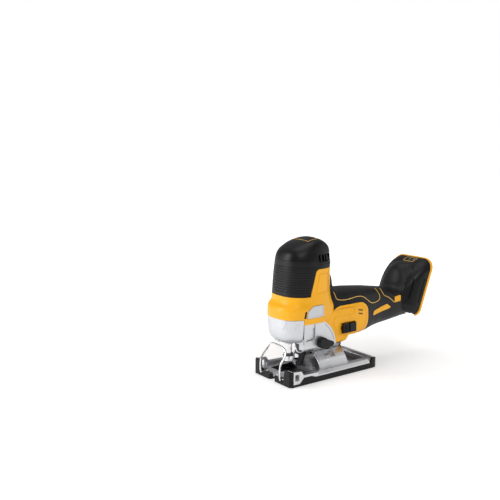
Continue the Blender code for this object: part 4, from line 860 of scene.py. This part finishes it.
# =================================================================== battery dock
foot = loft("dock_fine", [dock_ring(d) for d in (-33.5, -33.0, -32.2, -31.0, -29.0, -27.0, -23.5, -20.0, -16.0, -12.0, -8.0,
                                                 -4.4)], "black_plastic", looks)
cut(foot, loft("dock_bay_f", [[dock(d, t, y) for t, y in rrect_tb(-60.0, 34.6, 30.5, 4.0, 13.0)] for d in (-11.5, 5.0)]),
    loft("dock_bay_deep_f", [[dock(d, t, y) for t, y in rrect_tb(-60.0, 29.0, 28.0, 4.0, 11.0)] for d in (-15.0, -10.0)]),
    dock_box("dock_back_f", (-22.0, -14.0), (-34.0, 17.2), (-23.0, 23.0)),
    dock_box("dock_well_f", (-27.0, -21.0), (-34.0, 2.0), (-17.0, 17.0)),
    dock_box("wire_window_f", (-40.0, -20.0), (-22.0, -4.0), (-16.0, 16.0)))
for side, tag in ((-1, "left"), (1, "right")):
    # long dark slot with a stepped edge, and a band sunk along the flank behind it
    y0 = (side * 26, side * 60) if side > 0 else (-60, -26)
    slot_cut = dock_box(f"dock_slot_{tag}", (-26.4, -24.2), (-22.0, 8.0), y0)
    for k in range(5):
        join(slot_cut, dock_box(f"dock_notch_{tag}_{k}", (-24.4, -23.4), (-19.5 + 5.4 * k, -16.9 + 5.4 * k), y0))
    cut(slot_cut, loft(f"dock_limit_{tag}", [dock_ring(d, 2.0) for d in (-33.4, -31.5, -27.0, -20.0, -12.0, -4.4)]))
    step = dock_box(f"dock_step_{tag}", (-13.6, -8.8), (-24.0, 12.0), y0)
    cut(step, loft(f"dock_limit2_{tag}", [dock_ring(d, 0.7) for d in (-33.5, -31.5, -27.0, -20.0, -12.0, -4.4)]))
    cut(foot, slot_cut, step)
soften(foot, 0.5, 2, 34)
put(foot, "housing", "black_plastic", "dock_housing")
rim = loft("dock_rim_fine", [[dock(d, t, y) for t, y in rrect_tb(-44.4 + i, 44.4 - i, 37.8 - i, 12.4 - i, 17.5 - i)]
                             for d, i in ((-4.0, 0.35), (-3.7, 0.08), (-3.3, 0.0), (-0.7, 0.0), (-0.3, 0.08), (0.0, 0.35))],
           "yellow_plastic", looks)
cut(rim, loft("rim_mouth_f", [[dock(d, t, y) for t, y in rrect_tb(-39.4, 38.8, 33.4, 9.0, 13.0)] for d in (-10.0, 5.0)]),
    dock_box("rim_bottom_f", (-10.0, 5.0), (-60.0, -30.0), (-30.5, 30.5)))
soften(rim, 0.3, 2, 34)
put(rim, "housing", "yellow_plastic", "dock_rim")

# =================================================================== CAD pieces that keep their shape: rounded edges
EDGE = {"gearcase": 0.5, "sole_cover": 0.6, "sole_plate": 0.45, "quadrant_bracket": 0.35, "orbital_lever": 0.9,
        "bevel_lever": 0.6, "guide_arm": 0.5, "blade_clamp": 0.4, "release_lever": 0.3, "dock_rail_left": 0.4,
        "dock_rail_right": 0.4, "terminal_block": 0.4, "speed_dial": 0.5, "guide_roller": 0.25,
        "bevel_clamp_plate": 0.3, "vent_grille_left": 0.25, "vent_grille_right": 0.25, "housing_screw_1": 0.2,
        "housing_screw_2": 0.2, "housing_screw_3": 0.2, "housing_screw_4": 0.2, "blade_rod": 0.3,
        "motor_end_shield": 0.3, "switch_slider": 0.5}
for name, width in EDGE.items():
    if name not in nodes:
        continue
    ob = nodes[name]
    d = ob.modifiers.new("planar", "DECIMATE")
    d.decimate_type = "DISSOLVE"
    d.angle_limit = math.radians(1.0)
    m = ob.modifiers.new("edge", "BEVEL")
    m.width = width / 1000
    m.segments = 2
    m.limit_method = "ANGLE"
    m.angle_limit = math.radians(34)
    m.use_clamp_overlap = True
    wn = ob.modifiers.new("normals", "WEIGHTED_NORMAL")
    wn.keep_sharp = True
    wn.weight = 80

# =================================================================== small features laid on the shells
# gear case: parting line beside the nose, and the raised plate that ends in a double line
for side, tag in ((-1, "left"), (1, "right")):
    y = side * 31.5
    lines = {
        "case_parting": ([(28.4, y, 84.0), (28.3, y, 72.0), (28.3, y, 60.0), (28.3, y, 50.2)], 0.34, "seam_dark"),
        "case_plate_edge": (smooth_path([(46.6, y, 83.0), (46.4, y, 72.0), (46.2, y, 62.0), (45.2, y, 57.4), (42.0, y, 55.4),
                                         (36.0, y, 54.8), (31.0, y, 54.9)], 5), 0.36, "seam_grey"),
        "case_plate_lip": (smooth_path([(48.2, y, 83.4), (48.0, y, 72.0), (47.9, y, 62.0), (46.8, y, 56.2), (42.6, y, 53.7),
                                        (36.0, y, 53.0), (31.0, y, 53.1)], 5), 0.30, "cast_alloy"),
    }
    for nm, (pts, r, m) in lines.items():
        ob = wire(f"{nm}_{tag}", pts, r, m, 8)
        put(ob, "housing", "cast_alloy")
    arc_in = [(x - 3.0, y, z - 1.6) for x, z in ARC_F[2:-6]]
    put(wire(f"case_groove_{tag}", arc_in, 0.28, "seam_grey", 8), "housing", "cast_alloy")
    # painted shade: a dark line where the yellow ring overlaps the nose
    under = [(x, side * (nose_y(x, 83.6) - 0.05), 83.7) for x in spans(7.5, 27.0, 1.3)]
    put(wire(f"ring_shadow_{tag}", under, 0.3, "seam_dark", 8), "housing", "cast_alloy")
    # belly: a dark orange strand of painted shade along the thin parting line and the pull-in that frames the blank
    # plate
    belly_line = on_rear([(79.5, 86.9), (86.5, 89.2), (96.0, 89.6), (108.0, 89.4), (117.5, 89.2)], side, -0.22, 5)
    put(wire(f"belly_line_{tag}", belly_line, 0.30, "seam_shadow", 8), "housing", "yellow_plastic")
    # cap: two upright bars that end the vent recess
    for k, (x0, z0, z1) in enumerate(((50.6, 156.0, 165.8), (70.0, 156.4, 164.8))):
        bar = [(x0 + 0.10 * i, side * (tower_y(x0 + 0.10 * i, z0 + (z1 - z0) * i / 6) - 0.75), z0 + (z1 - z0) * i / 6) for i in range(7)]
        put(wire(f"vent_bar_{tag}_{k}", bar, 0.7, "black_plastic", 10), "housing", "black_plastic")

# thumb slider: three grip ridges
for k in range(3):
    x0 = 96.4 + 2.1 * k
    ridge = box(f"slider_ridge_{k}", (x0, x0 + 1.0), (-35.0, -34.2), (57.4, 67.4), "black_overmould", looks)
    put(ridge, "switch", "black_plastic") if "switch" in frame["record"]["behaviour"]["bodies"] else None

# top shelf of the dock: a plain outlined plate, without lettering
shelf = rounded([(-15.5, -11.0), (-7.5, -11.0), (-7.5, 8.0), (-15.5, 8.0)], 1.0, 4)


def shelf_t(d):
    rows = sorted(DOCK)
    return table(rows, d)[1]


pts = []
for p, q in zip(shelf, shelf[1:] + shelf[:1]):
    for s in range(2):
        d, y = p[0] + (q[0] - p[0]) * s / 2, p[1] + (q[1] - p[1]) * s / 2
        pts.append(dock(d, shelf_t(d) - 0.25, y))
put(wire("shelf_outline", pts, 0.42, "pin_orange", 8, True), "housing", "yellow_plastic")
for k in range(2):
    y0 = -7.5 + 7.0 * k
    pts = [dock(d, shelf_t(d) - 0.25, y0) for d in spans(-13.6, -9.4, 1.4)]
    put(wire(f"shelf_mark_{k}", pts, 0.55, "mark_grey", 8), "housing", "black_plastic")

# painted shade: a thin black shell inside the bracket stands for the shade in the arch, with a bright front lip
for k, (xa, xb) in enumerate(((58.4, 80.0), (90.0, 105.6))):
    arch_shade_shell = prism_x(f"arch_painted_shade_{k}", [(r * math.sin(math.radians(a)), BEVEL_Z + r * math.cos(math.radians(a)))
                                        for r, angles in ((31.36, range(-70, 71, 5)), (31.06, range(70, -71, -5))) for a in angles],
                    xa, xb, "black_plastic", looks)
    freeze(arch_shade_shell)
    put(arch_shade_shell, "sole", "black_plastic")
lip = [(58.2, -math.sin(math.radians(a)) * 31.9, BEVEL_Z + math.cos(math.radians(a)) * 31.9) for a in range(-64, 65, 4)]
put(wire("arch_lip", lip, 0.7, "bright_steel", 10), "sole", "bright_steel")
ROD_X = 28.0
# blade zone: the release wire
release = smooth_path([(30.6, -9.0, 51.5), (29.6, -12.6, 47.6), (28.6, -14.0, 43.2), (30.0, -14.4, 38.4), (34.4, -14.0, 35.4),
                       (40.0, -12.6, 34.4), (46.6, -10.4, 34.6)], 5)
put(wire("release_wire", release, 0.95, "bright_steel", 10), "housing", "bright_steel")


# painted shade: thin black strips along the inside of the front deck opening, so the blade zone reads as a deep, shaded
# recess
for side, tag in ((-1, "left"), (1, "right")):
    strip = box(f"opening_painted_shade_{tag}", (15.6, 54.6), (21.6, 21.95) if side > 0 else (-21.95, -21.6), (3.0, 9.3),
                "black_plastic", looks)
    freeze(strip)
    put(strip, "sole", "black_plastic")
